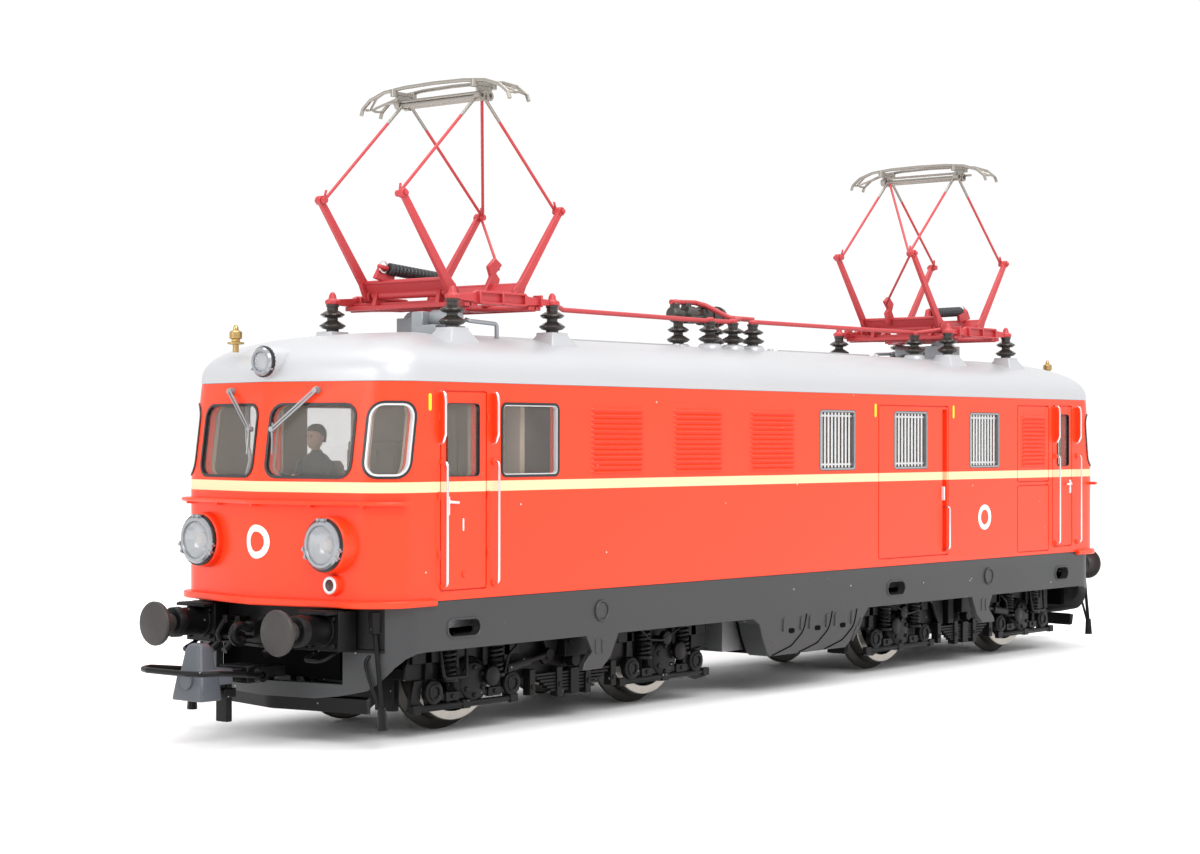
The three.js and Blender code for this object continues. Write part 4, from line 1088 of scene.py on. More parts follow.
def lowerArm(side, latch):
    arm = Shape()
    foot = (side * panto["pivotX"], panto["baseZ"])
    knee = (side * panto["kneeX"], panto["kneeZ"])
    along = (Vector(knee) - Vector(foot)).normalized()
    across = Vector((-along.y, along.x)) * side
    for hand in (-1, 1):
        y = hand * panto["armY"]
        arm.prism(barOutline(foot, knee, 0.62, 0.4), "y", y - 0.3, y + 0.3)
        arm.turned([(0.56, y - 0.42), (0.56, y + 0.42)], (knee[0], 0, knee[1]), "y", 14)
        arm.turned([(0.3, y - 0.75), (0.3, y + 0.75)], (knee[0], 0, knee[1]), "y", 10)
        arm.turned([(0.8, y - 0.5), (0.8, y + 0.5)], (foot[0], 0, foot[1]), "y", 14)
        hook = Vector(knee) + across * 1.0 + along * 0.8
        arm.rod((knee[0], y - hand * 0.55, knee[1]), (hook.x, y - hand * 0.7, hook.y), 0.17, 6)
        arm.prism(barOutline(Vector(foot) + along * 0.5, Vector(foot) + along * 2.6, 0.95, 0.5), "y",
                  y - 0.26, y + 0.26)
    low, high, thick = 0.2, 1.9, 0.2
    corners = [Vector(foot) + along * t + across * k * thick for t, k in
               ((low, -1), (high, -1), (high, 1), (low, 1))]
    arm.prism([tuple(c) for c in corners], "y", -panto["armY"], panto["armY"])
    for t in (low, high):
        edge = Vector(foot) + along * t
        arm.rod((edge.x, -panto["armY"], edge.y), (edge.x, panto["armY"], edge.y), 0.28, 8)
    if latch:  # the thin brace and its notched plate
        end = Vector(foot) + along * 4.6
        arm.rod((knee[0], panto["armY"] - 0.4, knee[1]), (end.x, -1.6, end.y), 0.2, 8)
        tip = Vector(foot) + along * 5.2
        arm.prism([(foot[0] - 0.4, foot[1] + 0.6), (foot[0] + 1.9, foot[1] + 0.8), (tip.x - 0.6, tip.y - 1.7),
                   (tip.x - 1.3, tip.y - 1.0), (tip.x - 0.2, tip.y + 0.1), (tip.x - 1.4, tip.y + 0.9),
                   (tip.x - 2.7, tip.y - 0.2), (tip.x - 2.2, tip.y - 1.4)], "y", -2.1, -1.5)
    else:
        eye = Vector(foot) + along * 3.6
        arm.prism([(eye.x - 0.3, eye.y - 0.9), (eye.x + 2.9, eye.y - 1.6), (eye.x + 3.1, eye.y - 0.4),
                   (eye.x + 0.6, eye.y + 0.5)], "y", 3.4, 4.0)
    return arm


def upperArm(side, braced):
    reds, greys = [], []
    knee = Vector((side * panto["kneeX"], 0, panto["kneeZ"]))
    top = Vector((side * panto["topX"], 0, panto["topZ"]))
    inside = panto["armY"] - 0.72
    share = 0.8
    for y in (-inside, inside):
        a, b = knee + Vector((0, y, 0)), top + Vector((0, y, 0))
        middle = a.lerp(b, share)
        reds.append([a, middle])
        greys.append([middle, b])
    if braced:
        reds.append([knee + Vector((0, inside, 0)), top + Vector((0, -inside + 0.4, 0))])
    red = tubes(reds, 0.2, rodRed, sides=10)
    grey = tubes(greys, 0.22, headGrey, sides=10)
    grey.rod((top.x, -panto["armY"], top.z), (top.x, panto["armY"], top.z), 0.3, 10)
    for y in (-inside, inside):
        red.turned([(0.4, y - 0.24), (0.4, y + 0.24)], (knee.x, 0, knee.z), "y", 12)
    return red, grey


def pantographBow():
    strips = []
    for x in (-1.7, 1.7):
        half = [(0, 77.25), (5, 77.15), (8.4, 76.85), (10.8, 76.1), (12.1, 75.1), (12.4, 74.3)]
        strips.append([(x, -y, z) for y, z in half[:0:-1]] + [(x, y, z) for y, z in half])
    bow = tubes(strips, 0.24, headGrey, bend=0.6)
    horns = []
    for hand in (-1, 1):
        for way in (-1, 1):
            horns.append([(way * 1.7, hand * 8.4, 76.8), (way * 1.4, hand * 10.0, 76.3),
                          (way * 0.2, hand * 12.2, 75.3), (way * -1.2, hand * 12.5, 75.0),
                          (way * -1.7, hand * 11.6, 75.4)])
    bow.take(tubes(horns, 0.17, headGrey, bend=0.9, sides=6))
    for y in (-6.7, 6.7):
        bow.box(-1.95, 1.95, y - 0.28, y + 0.28, 76.45, 76.85)
        bow.prism([(-1.2, 75.7), (-0.8, 74.8), (0.8, 74.8), (1.2, 75.7), (1.55, 76.7), (-1.55, 76.7)], "y",
                  y - 0.14, y + 0.14)
        for x in (-0.75, 0.75):
            bow.take(hoop([(0.32, y - 0.4), (0.62, y - 0.4), (0.62, y + 0.4), (0.32, y + 0.4)],
                          (x, 0, 75.3), "y", 12))
        for x in (-1.7, 1.7):
            bow.turned([(0.45, 76.2), (0.45, 77.1)], (x, y, 0), "z", 10)
    bow.take(tubes([[(-0.9, -8.3, 75.6), (-0.9, 8.3, 75.6)], [(0.9, -6.7, 75.85), (0.9, 6.7, 75.85)]], 0.2,
                   headGrey, sides=6))
    return bow


def makePantographs():
    base, posts = pantographFrame()
    outer, inner = lowerArm(-1, False), lowerArm(1, True)
    topOuter, topInner = upperArm(-1, False), upperArm(1, True)
    bow = pantographBow()
    a, b = Vector((-6.2, 3.2, 54.5)), Vector((3.2, 3.2, 53.8))
    turn = Matrix.Translation(a) @ (b - a).to_track_quat("Z", "Y").to_matrix().to_4x4()
    spring = coils([(0, 0, 0)], (b - a).length, 0.62, 30.0, 0.165, springDark).moved(turn)
    spring.rod(a, b, 0.56, 10)
    ring = hoop([(0.62, -0.08), (0.78, -0.08), (0.78, 0.08), (0.62, 0.08)], (-7.0, 3.2, 54.7), "y", 14)
    lugs = Shape().prism([(2.9, 50.1), (5.3, 50.1), (4.4, 53.0), (3.9, 54.4), (2.9, 54.4), (2.6, 53.2)], "y",
                         2.9, 3.5)
    lugs.rod((-6.3, 3.2, 54.55), (-7.9, 3.2, 54.75), 0.3, 8)
    for end, turned in ends.items():
        here = turned @ Matrix.Translation((-panto["centre"], 0, 0))
        parts = [("Base", base.moved(here).take(lugs.moved(here)), rodRed, "root", f"pantograph_base_{end}"),
                 ("Insulators", posts, insulatorBrown, "root", None),
                 ("Spring", spring, springDark, "root", f"pantograph_spring_{end}"),
                 ("SpringRing", ring, railSilver, "root", None),
                 ("LowerOuter", outer, rodRed, f"lower_outer_{end}", f"lower_arms_outer_{end}"),
                 ("LowerInner", inner, rodRed, f"lower_inner_{end}", f"lower_arms_inner_{end}"),
                 ("UpperOuter", topOuter[0], rodRed, f"upper_outer_{end}", f"upper_arms_outer_{end}"),
                 ("UpperOuterTips", topOuter[1], headGrey, f"upper_outer_{end}", None),
                 ("UpperInner", topInner[0], rodRed, f"upper_inner_{end}", f"upper_arms_inner_{end}"),
                 ("UpperInnerTips", topInner[1], headGrey, f"upper_inner_{end}", None),
                 ("Bow", bow, headGrey, f"head_{end}", f"pantograph_head_{end}")]
        for name, shape, material, mover, node in parts:
            placed = shape if name == "Base" else shape.moved(here)
            piece(f"pantograph{name}_{end}", placed, material, mover, replaces=node or (),
                  bevel=0.06 if name in ("Base", "LowerOuter", "LowerInner") else 0)


makePantographs()
print("pantographs made")

# Sill frame, aprons and what hangs from them

sill = {"nose": 85.0, "halfWidth": 16.9, "corner": 5.0, "wall": 1.1, "top": 15.85, "apron": 5.1}


def sillSkin(s, z, out=0.0):
    return endSkin(s, z, out - 0.1, sill["nose"])


def makeSill():
    ring = Shape()
    rings = []
    for inset, z in ((0, sill["apron"]), (0, sill["top"]), (sill["wall"], sill["top"]),
                     (sill["wall"], sill["apron"])):
        rings.append([(x, y, z) for x, y in planOutline(sill["nose"] - inset, sill["halfWidth"] - inset,
                                                        sill["corner"] - inset)])
    ring.stack(rings, around=True)
    under = [(-76.4, 10.3), (-77.9, 10.2), (-79.3, 9.7), (-80.4, 8.8), (-81.3, 7.6), (-82.2, 6.3),
             (-83.0, 5.5),
             (-83.8, 5.0), (-83.8, 2)]
    cutter = Shape().prism(under + [(-x, z) for x, z in under[::-1]], "y", -30, 30)
    for end in ends.values():
        cutter.take(Shape().box(-90, -80, -10.4, 10.4, 6.8, 10.4), end)
    for x0, x1 in ((-72.8, -67.6), (18.8, 23.3), (68.5, 72.5)):
        cutter.prism(roundedLoop(x0, x1, 11.75, 13.55, 0.85), "y", -30, -12)
        cutter.prism(roundedLoop(x0, x1, 11.75, 13.55, 0.85), "y", 12, 30)
    piece("sillFrame", ring, sillGrey, replaces="sill_frame", slot="grey_frame", cutter=cutter, bevel=0.12)

    side, wall = Shape(), sill["halfWidth"]
    bracket = [(-48.6, 10.4), (-47.4, 8.3), (-48.9, 7.0), (-49.2, 6.2), (-45.6, 6.2), (-43.9, 7.5),
               (-42.3, 10.4)]
    for outline in (bracket, [(-x, z) for x, z in bracket]):
        side.prism(outline, "y", wall - 0.9, wall)
    for x0 in (-46.9, 45.1):
        side.prism(roundedLoop(x0, x0 + 0.75, 8.0, 9.9, 0.3), "y", wall - 0.1, wall + 0.12)
        side.prism(roundedLoop(x0 + 1.2, x0 + 1.95, 8.0, 9.9, 0.3), "y", wall - 0.1, wall + 0.12)
    for x in (-45.7, 47.3):
        side.take(hoop([(1.0, wall - 0.2), (1.35, wall - 0.2), (1.3, wall + 0.26), (1.05, wall + 0.26)],
                       (x, 0, 13.2), "y", 20))
        side.turned([(1.1, wall - 0.2), (1.05, wall + 0.1)], (x, 0, 13.2), "y", 20)
    for x0, x1 in ((-72.8, -67.6), (18.8, 23.3), (68.5, 72.5)):
        side.frame(roundedLoop(x0 - 0.28, x1 + 0.28, 11.47, 13.83, 1.1),
                   roundedLoop(x0, x1, 11.75, 13.55, 0.85),
                   lambda u, v, out: Vector((u, wall + out, v)), -0.3, 0.14)
    tank = [(-14.3, 10.4), (-12.7, 9.5), (-11.9, 7.4), (-10.9, 5.5), (-10.3, 5.1), (8.0, 5.1), (9.6, 6.2),
            (12.7, 9.2), (14, 10.4)]
    side.prism(tank, "y", 13.4, wall - 0.02)
    # the tank's core between its grey side plates is near-black: painted shade under the sill
    middle = Shape().prism([(x * 0.96, z + 0.15) for x, z in tank[:-1]] + [(12, 12.3), (-12, 12.3)], "y",
                           -13.3, 13.3)
    piece("middleTank", middle, paintedShadeBlack, bevel=0.2)
    grooves = Shape()
    # grooves drawn as thin near-black tubes and small near-black pockets: painted shade in the grooves
    for x in (-5.27, 0.96, 7.17):
        curve = [(x + 3.6, wall, 10.3), (x + 2.85, wall, 8.0), (x - 0.1, wall, 6.2), (x - 4.6, wall, 5.2)]
        grooves.take(tubes([curve], 0.09, paintedShadeBlack, bend=2.4, sides=6))
        grooves.plug(roundedLoop(x - 0.62, x + 0.62, 7.9, 8.55, 0.3), sideSkin(1), -0.35, -0.03)
        for x0 in (x - 1.9, x + 2.2):
            side.take(tubes([[(x0 + 0.35, wall + 0.02, 10.0), (x0 + 0.02, wall + 0.02, 9.7),
                              (x0 - 0.1, wall + 0.02, 8.2)]], 0.17, sillGrey, bend=0.2, sides=6))
    bars = [[(10.9, wall, 7.9), (9.5, wall, 5.9)], [(12.0, wall, 8.9), (10.6, wall, 6.9)]]
    side.take(tubes(bars, 0.2, sillGrey, sides=6))
    piece("sillSides", Shape().take(side, *bothSides), sillGrey, slot="grey_frame", bevel=0.1)
    piece("sillGrooves", Shape().take(grooves, *bothSides), paintedShadeBlack)

    front, black = Shape(), Shape()
    steps = 24
    rings = []
    for i in range(steps + 1):
        s = -13.4 + 26.8 * i / steps
        rings.append([sillSkin(s, z, out) for z, out in ((3.5, -1.3), (3.6, -0.75), (5.2, -0.45),
                                                         (5.4, -1.3))])
    black.stack(rings)
    rings = []
    for i in range(steps + 1):
        s = -15.8 + 31.6 * i / steps
        rings.append([sillSkin(s, z, out) for z, out in ((10.45, -0.3), (10.45, 0.42), (10.75, 0.42),
                                                         (10.85, 0.16),
                                                         (15.3, 0.14), (15.3, -0.3))])
    black.stack(rings)
    for hand in (-1, 1):
        y = hand * 10.06
        front.box(-85.6, -82.9, y - 2.45, y + 2.45, 10.7, 15.1)
        front.box(-87.3, -84.2, y - 2.3, y + 2.3, 14.75, 15.1)
        for k in range(6):
            front.box(-87.2 + k * 0.5, -87.0 + k * 0.5, y - 2.1, y + 2.1, 15.08, 15.2)
        front.turned([(1.95, -85.9), (1.9, -85.5)], (0, y, 13.06), "x", 20)
        front.turned([(1.4, -90.0), (1.72, -89.9), (1.75, -88.9), (1.6, -88.7), (1.62, -85.7)],
                     (0, y, 13.06), "x", 22)
        for dy in (-1.75, 1.75):
            for z in (11.3, 14.3):
                front.turned([(0.3, -86.0), (0.3, -85.5)], (0, y + dy, z), "x", 6)
        black.take(tubes([[(-84.6, y - 1.5, 10.7), (-87.2, y - 1.5, 9.7), (-87.2, y + 1.5, 9.7),
                           (-84.6, y + 1.5, 10.7)]], 0.22, bogieBlack, bend=0.9))
        strap = sillSkin(hand * 14.7, 14.2, 0.1)
        black.take(tubes([[strap, sillSkin(hand * 14.9, 12.2, 0.55), sillSkin(hand * 15.3, 8.0, 0.7),
                           sillSkin(hand * 15.6, 4.4, 0.9), sillSkin(hand * 15.7, 2.4, 0.9)]], 0.26,
                           bogieBlack, bend=2))
        black.rod(sillSkin(hand * 14.7, 14.9, 0.25), sillSkin(hand * 14.8, 12.6, 0.35), 0.75, 8, 0.6)
        black.rod(sillSkin(hand * 15.6, 4.6, 0.9), sillSkin(hand * 15.7, 2.1, 0.9), 0.45, 8, 0.62)
        black.take(tubes([[sillSkin(hand * 14.2, 10.1, -0.1), sillSkin(hand * 13.6, 9.8, 0.5),
                           sillSkin(hand * 14.3, 7.4, 0.6), sillSkin(hand * 15.4, 4.3, 0.8)]], 0.2,
                           bogieBlack, bend=1.5))
        for y0 in (3.3, 5.4):
            black.take(tubes([[(-84.2, hand * y0, 13.6), (-86.0, hand * y0, 13.4),
                               (-87.0, hand * (y0 + 0.2), 12.0),
                               (-86.6, hand * (y0 + 0.1), 10.9), (-87.6, hand * y0, 10.4)]], 0.3,
                               bogieBlack, bend=0.7))
            black.turned([(0.42, 0), (0.42, 0.9)], (-85.9, hand * y0, 13.0), "z", 8)
            black.rod((-87.2, hand * y0, 10.7), (-88.0, hand * y0, 10.1), 0.42, 8)
        black.box(-86.6, -84.4, hand * 4.4 - 1.8, hand * 4.4 + 1.8, 11.3, 11.7)
    black.take(tubes([[(-84.2, 0, 12.75), (-87.5, 0, 12.75), (-88.5, 0, 13.15), (-89.55, 0, 12.9),
                       (-89.75, 0, 11.9), (-89.0, 0, 11.2), (-88.1, 0, 11.5)]], 0.48, bogieBlack, bend=0.6,
                       sides=10))
    black.box(-87.2, -84.3, -0.75, 0.75, 12.0, 13.5)
    black.turned([(1.3, -85.2), (1.3, -84.6)], (0, 0, 12.75), "x", 14)
    piece("bufferBeams", Shape().take(front, *ends.values()), bogieBlack, slot="black_plastic", bevel=0.06)
    piece("ploughsAndHoses", Shape().take(black, *ends.values()), bogieBlack, slot="black_plastic")
    # near-black plates inside the apron mouths: painted shade in the mouths
    inner = Shape().box(-80.4, -79.4, -12, 12, 6.9, 14).box(-81.2, -80.3, -8.2, 8.2, 7.1, 12.6)
    piece("endPlates", Shape().take(inner, *ends.values()), paintedShadeBlack)


def makeBuffersAndCouplers():
    head = Shape().turned([(0, -0.12), (0.9, -0.09), (1.9, 0.03), (2.4, 0.16), (2.52, 0.34), (2.48, 0.66),
                           (1.7, 0.92),
                           (1.25, 1.25), (1.0, 1.5), (1.0, 5.6)], (-92.75, 0, 0), "x", 36)
    coupler = Shape()

    def block(z, x0, x1, y):
        return [(x, b, z) for x, b in roundedLoop(x0, x1, -y, y, 0.45, 3)]
    coupler.stack([block(5.4, -96.45, -93.2, 2.5), block(6.0, -96.4, -93.25, 2.42),
                   block(8.3, -96.1, -93.35, 2.05),
                   block(8.7, -95.9, -93.4, 1.7), block(10.9, -95.6, -93.6, 1.3),
                   block(11.4, -95.4, -93.75, 1.1),
                   block(11.55, -95.1, -94.0, 0.8)])
    coupler.turned([(0.95, -96.6), (0.95, -96.1)], (0, 0, 7.6), "x", 16)
    coupler.box(-94.8, -91.3, -1.9, 1.9, 7.0, 8.7)
    dark = Shape().box(-91.6, -83.1, -1.45, 1.45, 7.2, 8.55)
    dark.box(-89.6, -86.9, -2.3, 2.3, 6.9, 8.8)
    dark.box(-91.4, -90.5, -0.9, 0.9, 2.7, 7.3)
    dark.box(-91.9, -90.1, -1.1, 1.1, 5.4, 6.4)
    for hand in (-1, 1):
        dark.turned([(0.85, hand * 2.2), (0.8, hand * 2.7)], (-88.1, 0, 7.8), "y", 14)
    side = [(-88.1, 2.95, 7.8), (-89.6, 3.4, 7.9), (-92.4, 4.9, 8.3), (-96.6, 5.6, 8.75),
            (-98.4, 4.9, 8.75), (-99.02, 3.2, 8.75)]
    loop = tubes([side + [(x, -y, z) for x, y, z in side[::-1]]], 0.33, bogieBlack, bend=1.3, sides=10)
    for hand in (-1, 1):
        loop.take(hoop([(0.4, hand * 2.75), (0.8, hand * 2.75), (0.8, hand * 3.25), (0.4, hand * 3.25)],
                       (-88.1, 0, 7.8), "y", 14))
    for end, turn in ends.items():
        for hand, letter in ((-1, "a"), (1, "b")):
            at = turn @ Matrix.Translation((0, hand * 10.06, 13.06))
            piece(f"bufferHead_{end}_{letter}", head.moved(at), bufferBrown, f"plunger_{end}_{letter}",
                  replaces=f"buffer_{end}_{letter}", slot="buffer_brown")
        piece(f"couplerHead_{end}", coupler.moved(turn), couplerGrey, f"coupler_{end}",
              replaces=f"coupler_head_{end}", slot="grey_metal", bevel=0.12)
        piece(f"couplerShank_{end}", dark.moved(turn), bogieBlack, f"coupler_{end}", bevel=0.1)
        piece(f"couplerLoop_{end}", loop.moved(turn), bogieBlack, f"loop_{end}",
              replaces=f"coupler_loop_{end}")


makeSill()
makeBuffersAndCouplers()
print("sill, buffers and couplers made")


# Bogies, written about their own centre for the front end

bogie = {"centre": 46.35, "halfBase": 18.05, "axleZ": 8.57}


def bogieSide():
    frame, parts, springs = Shape(), Shape(), Shape()
    top = 11.6
    outline = [(-28.4, 8.2), (-26.5, top), (26.5, top), (28.4, 8.2), (28.4, 6.6), (23.4, 6.4), (12.6, 6.4),
               (10.2, 5.4),
               (-10.2, 5.4), (-12.6, 6.4), (-23.4, 6.4), (-28.4, 6.6)]
    frame.prism(outline, "y", 11.3, 12.4)
    for x0, x1 in ((-27.6, -23), (-12.4, -9.4), (9.4, 12.6), (23, 27.6)):
        frame.box(x0, x1, 12.2, 13.0, 8.4, top - 0.3)
    frame.box(-11, 11, 12.2, 13.5, 9.7, 10.4)
    for x in (-bogie["halfBase"], bogie["halfBase"]):
        z = 5.9
        frame.turned([(2.9, 12.2), (2.9, 13.2), (2.3, 13.5), (2.2, 13.9), (0.9, 14.0)], (x, 0, z), "y", 20)
        for k in range(6):
            a = math.radians(60 * k + 30)
            frame.turned([(0.34, 13.6), (0.34, 14.2), (0.2, 14.3)],
                         (x + 1.6 * math.cos(a), 0, z + 1.6 * math.sin(a)),
                         "y", 6)
        for way in (-1, 1):
            cx = x + way * 6.7
            parts.turned([(1.45, 12.9), (1.45, 13.9), (1.3, 14.05)], (cx, 0, 5.15), "y", 18)
            parts.take(hoop([(0.62, 13.9), (1.0, 13.9), (0.95, 14.3), (0.68, 14.3)], (cx, 0, 5.15), "y", 16))
            springs.turned([(1.25, 6.2), (1.25, 6.55), (0.5, 6.7), (0.5, 10.1)], (x + way * 4.0, 13.7, 0),
                           "z", 14)
        parts.box(x - 6.7, x + 6.7, 13.0, 13.6, 4.1, 4.85)
        for way in (-1, 1):
            parts.box(x + way * 3.6 - 1.1, x + way * 3.6 + 1.1, 12.9, 13.9, 3.95, 5.0)
            parts.turned([(0.3, 13.7), (0.3, 14.15)], (x + way * 3.6, 0, 4.5), "y", 6)
            frame.prism([(x + way * 2.0, 7.5), (x + way * 2.9, 7.5), (x + way * 3.2, top),
                         (x + way * 2.2, top)], "y",
                        12.2, 13.3)
    feet = [(axle + way * 4.0, 13.7, 6.6) for axle in (-bogie["halfBase"],
                                                       bogie["halfBase"]) for way in (-1, 1)]
    springs.take(coils(feet, 3.5, 0.86, 6.0, 0.24, bogieBlack))
    for x, z in ((-15.6, 6.4), (20.4, 6.8)):
        parts.turned([(0.7, 12.6), (0.7, 14.2), (1.15, 14.3), (1.2, 15.0), (1.0, 15.2)], (x, 0, z), "y", 18)
    for x0, x1, z in ((-27.6, -11.1, 3.4), (9.4, 26.8, 3.6)):
        parts.rod((x0, 13.6, z), (x1, 13.6, z), 0.42, 8)
        for x in (x0, x1, (x0 + x1) / 2):
            parts.box(x - 0.65, x + 0.65, 13.1, 14.1, z - 0.5, z + 0.5)
    for x in (-25.0, -11.6, 11.6, 25.0):  # brake shoes and their hangers
        parts.prism([(x - 0.5, 9.8), (x + 0.5, 9.8), (x + 0.8, 5.0), (x + 0.4, 3.2), (x - 0.4, 3.2),
                     (x - 0.6, 5.0)],
                    "y", 12.4, 13.0)
    parts.take(tubes([[(-24.2, 14.4, 10.05), (-23.9, 15.0, 6.7), (-20.1, 15.0, 6.7), (-19.8, 14.4, 10.05)]],
                     0.26,
                     bogieBlack, bend=0.5))
    parts.box(-23.8, -20.2, 14.5, 15.3, 6.5, 6.85)
    for k in range(6):  # leaf spring
        parts.box(-7.6 + k * 0.65, 7.2 - k * 0.65, 12.7, 13.9, 5.55 - k * 0.4, 5.88 - k * 0.4)
    for x in (-7.9, -2.9, 2.5, 7.4):
        parts.box(x - 0.5, x + 0.5, 12.5, 14.2, 2.9 + (0.5 if abs(x) > 5 else 0), 6.5)
        parts.turned([(0.32, 14.0), (0.32, 14.4)], (x, 0, 4.4), "y", 6)
    parts.box(-0.9, 0.7, 12.5, 14.3, 3.0, 6.2)
    parts.rod((-12.7, 14.2, 7.0), (-8.6, 14.2, 7.6), 0.62, 10)
    parts.rod((-8.6, 14.2, 7.6), (-5.0, 14.2, 8.2), 0.36, 8)
    parts.turned([(0.7, 13.6), (0.7, 14.6)], (-5.0, 0, 8.2), "y", 10)
    parts.prism([(-6.0, 10.3), (-3.0, 10.3), (-3.4, 8.6), (-4.1, 7.4), (-5.6, 6.9), (-6.2, 7.6),
                 (-5.2, 8.8)], "y",
                13.2, 14.0)
    parts.box(-2.6, 1.9, 12.9, 15.0, 7.7, 10.3)
    parts.turned([(0.35, 14.8), (0.35, 15.3)], (-1.6, 0, 9.6), "y", 6)
    parts.turned([(0.8, 13.0), (0.8, 14.9)], (-0.4, 0, 7.2), "y", 12)
    parts.box(3.6, 5.1, 12.9, 14.4, 6.2, 10.2)
    parts.prism([(6.0, 10.3), (9.4, 10.3), (7.2, 6.2), (5.8, 6.2)], "y", 13.0, 13.7)
    parts.take(tubes([[(9.5, 14.2, 9.9), (12.6, 14.4, 10.0), (14.4, 14.6, 8.6), (16.8, 14.7, 8.4),
                       (21, 14.6, 9.9)],
                      [(-10.9, 14.3, 9.7), (-12.4, 14.4, 8.6), (-13.0, 14.3, 6.4)]], 0.2, bogieBlack,
                      bend=0.8, sides=6))
    parts.turned([(0.9, 13.6), (0.9, 14.7), (0.6, 14.8)], (17.9, 0, 8.6), "y", 14)
    parts.prism([(22.6, 6.4), (26.4, 6.9), (25.3, 4.4), (27.6, 2.9), (25.0, 2.7), (22.0, 3.6)], "y", 12.6,
                13.4)
    parts.prism([(-27.4, 6.6), (-25.9, 6.6), (-26.6, 3.3), (-27.8, 2.9), (-28.2, 3.2)], "y", 12.2, 13.0)
    return frame, parts, springs


def wheelPieces():
    tyre, centre, axle = Shape(), Shape(), Shape()
    for hand in (-1, 1):
        tyre.take(hoop([(r, hand * y) for r, y in ((6.2, 9.75), (6.35, 10.0), (7.3, 10.0), (7.42, 9.85),
                                                   (7.47, 8.15),
                                                   (7.7, 7.98), (8.35, 7.86), (8.57, 7.7), (8.55, 7.42),
                                                   (8.3, 7.22),
                                                   (6.2, 7.2))], (0, 0, 0), "y", 56))
        centre.turned([(6.25, hand * 7.5), (6.25, hand * 8.0), (1.8, hand * 8.3)], (0, 0, 0), "y", 40)
        centre.take(hoop([(r, hand * y) for r, y in ((5.5, 7.8), (6.25, 7.8), (6.25, 9.6), (5.75, 9.4))],
                         (0, 0, 0), "y", 40))
        centre.turned([(2.2, hand * 7.6), (2.1, hand * 9.6), (1.5, hand * 10.0), (0.9, hand * 10.05)],
                      (0, 0, 0), "y", 20)
        spoke = [(-0.42, 1.6), (0.42, 1.6), (0.3, 5.8), (-0.3, 5.8)]
        for k in range(10):
            blade = Shape().prism(spoke, "y", min(hand * 7.9, hand * 9.1), max(hand * 7.9, hand * 9.1))
            centre.take(blade, Matrix.Rotation(math.radians(36 * k), 4, "Y"))
    axle.turned([(1.0, -10.9), (1.0, 10.9)], (0, 0, 0), "y", 18)
    gearForm = [(3.1 if k % 2 else 2.75, a) for k, a in enumerate(range(0, 360, 9))]
    teeth = [(r * math.cos(math.radians(a)), r * math.sin(math.radians(a))) for r, a in gearForm]
    axle.prism(teeth, "y", -1.6, 1.6)
    return tyre, centre, axle


def makeBogies():
    frame, parts, springs = bogieSide()
    narrow = Matrix.Translation((0, 3.4, 0)) @ Matrix.Scale(0.7, 4, (0, 1, 0))
    frame, parts = frame.moved(narrow), parts.moved(narrow)
    springs = springs.moved(Matrix.Translation((0, -1.0, 0)))
    cross = Shape()
    for way in (-1, 1):
        cross.box(way * 27.9 - 0.6, way * 27.9 + 0.6, -12, 12, 6.7, 8.0)
        for y in (-8.4, 8.4):
            cross.take(Shape().box(-0.5, 0.5, -1.5, 1.5, 3.0, 8.0), Matrix.Translation((way * 27.6, y, 0)))
    tyre, centre, axle = wheelPieces()
    for end, turn in ends.items():
        here = turn @ Matrix.Translation((-bogie["centre"], 0, 0))
        mover = f"bogie_{end}"
        piece(f"bogieFrame_{end}", Shape().take(frame, *bothSides).take(cross).moved(here), bogieBlack, mover,
              replaces=f"bogie_sides_{end}", slot="black_plastic", bevel=0.1)
        piece(f"bogieFittings_{end}", Shape().take(parts, *bothSides).moved(here), bogieBlack, mover,
              slot="black_plastic",
              bevel=0.06)
        piece(f"bogieSprings_{end}", Shape().take(springs, *bothSides).moved(here), bogieBlack, mover,
              slot="black_plastic")
        for way, place in ((-1, "outer"), (1, "inner")):
            at = here @ Matrix.Translation((way * bogie["halfBase"], 0, bogie["axleZ"]))
            middle = at.to_translation()
            steel = turnedPaint(f"tyreSteel_{end}_{place}", (0.46, 0.44, 0.40, 1),
                                {0: middle.x, 2: middle.z}, 7.38)
            mover = f"axle_{end}_{place}"
            piece(f"tyres_{end}_{place}", tyre.moved(at), steel, mover, replaces=f"wheelset_{end}_{place}",
                  slot="wheel_steel")
            piece(f"wheelCentres_{end}_{place}", centre.moved(at), bogieBlack, mover, slot="black_plastic")
            piece(f"axleShaft_{end}_{place}", axle.moved(at), steel, mover)


makeBogies()
print("bogies made")


# Cabs and driver

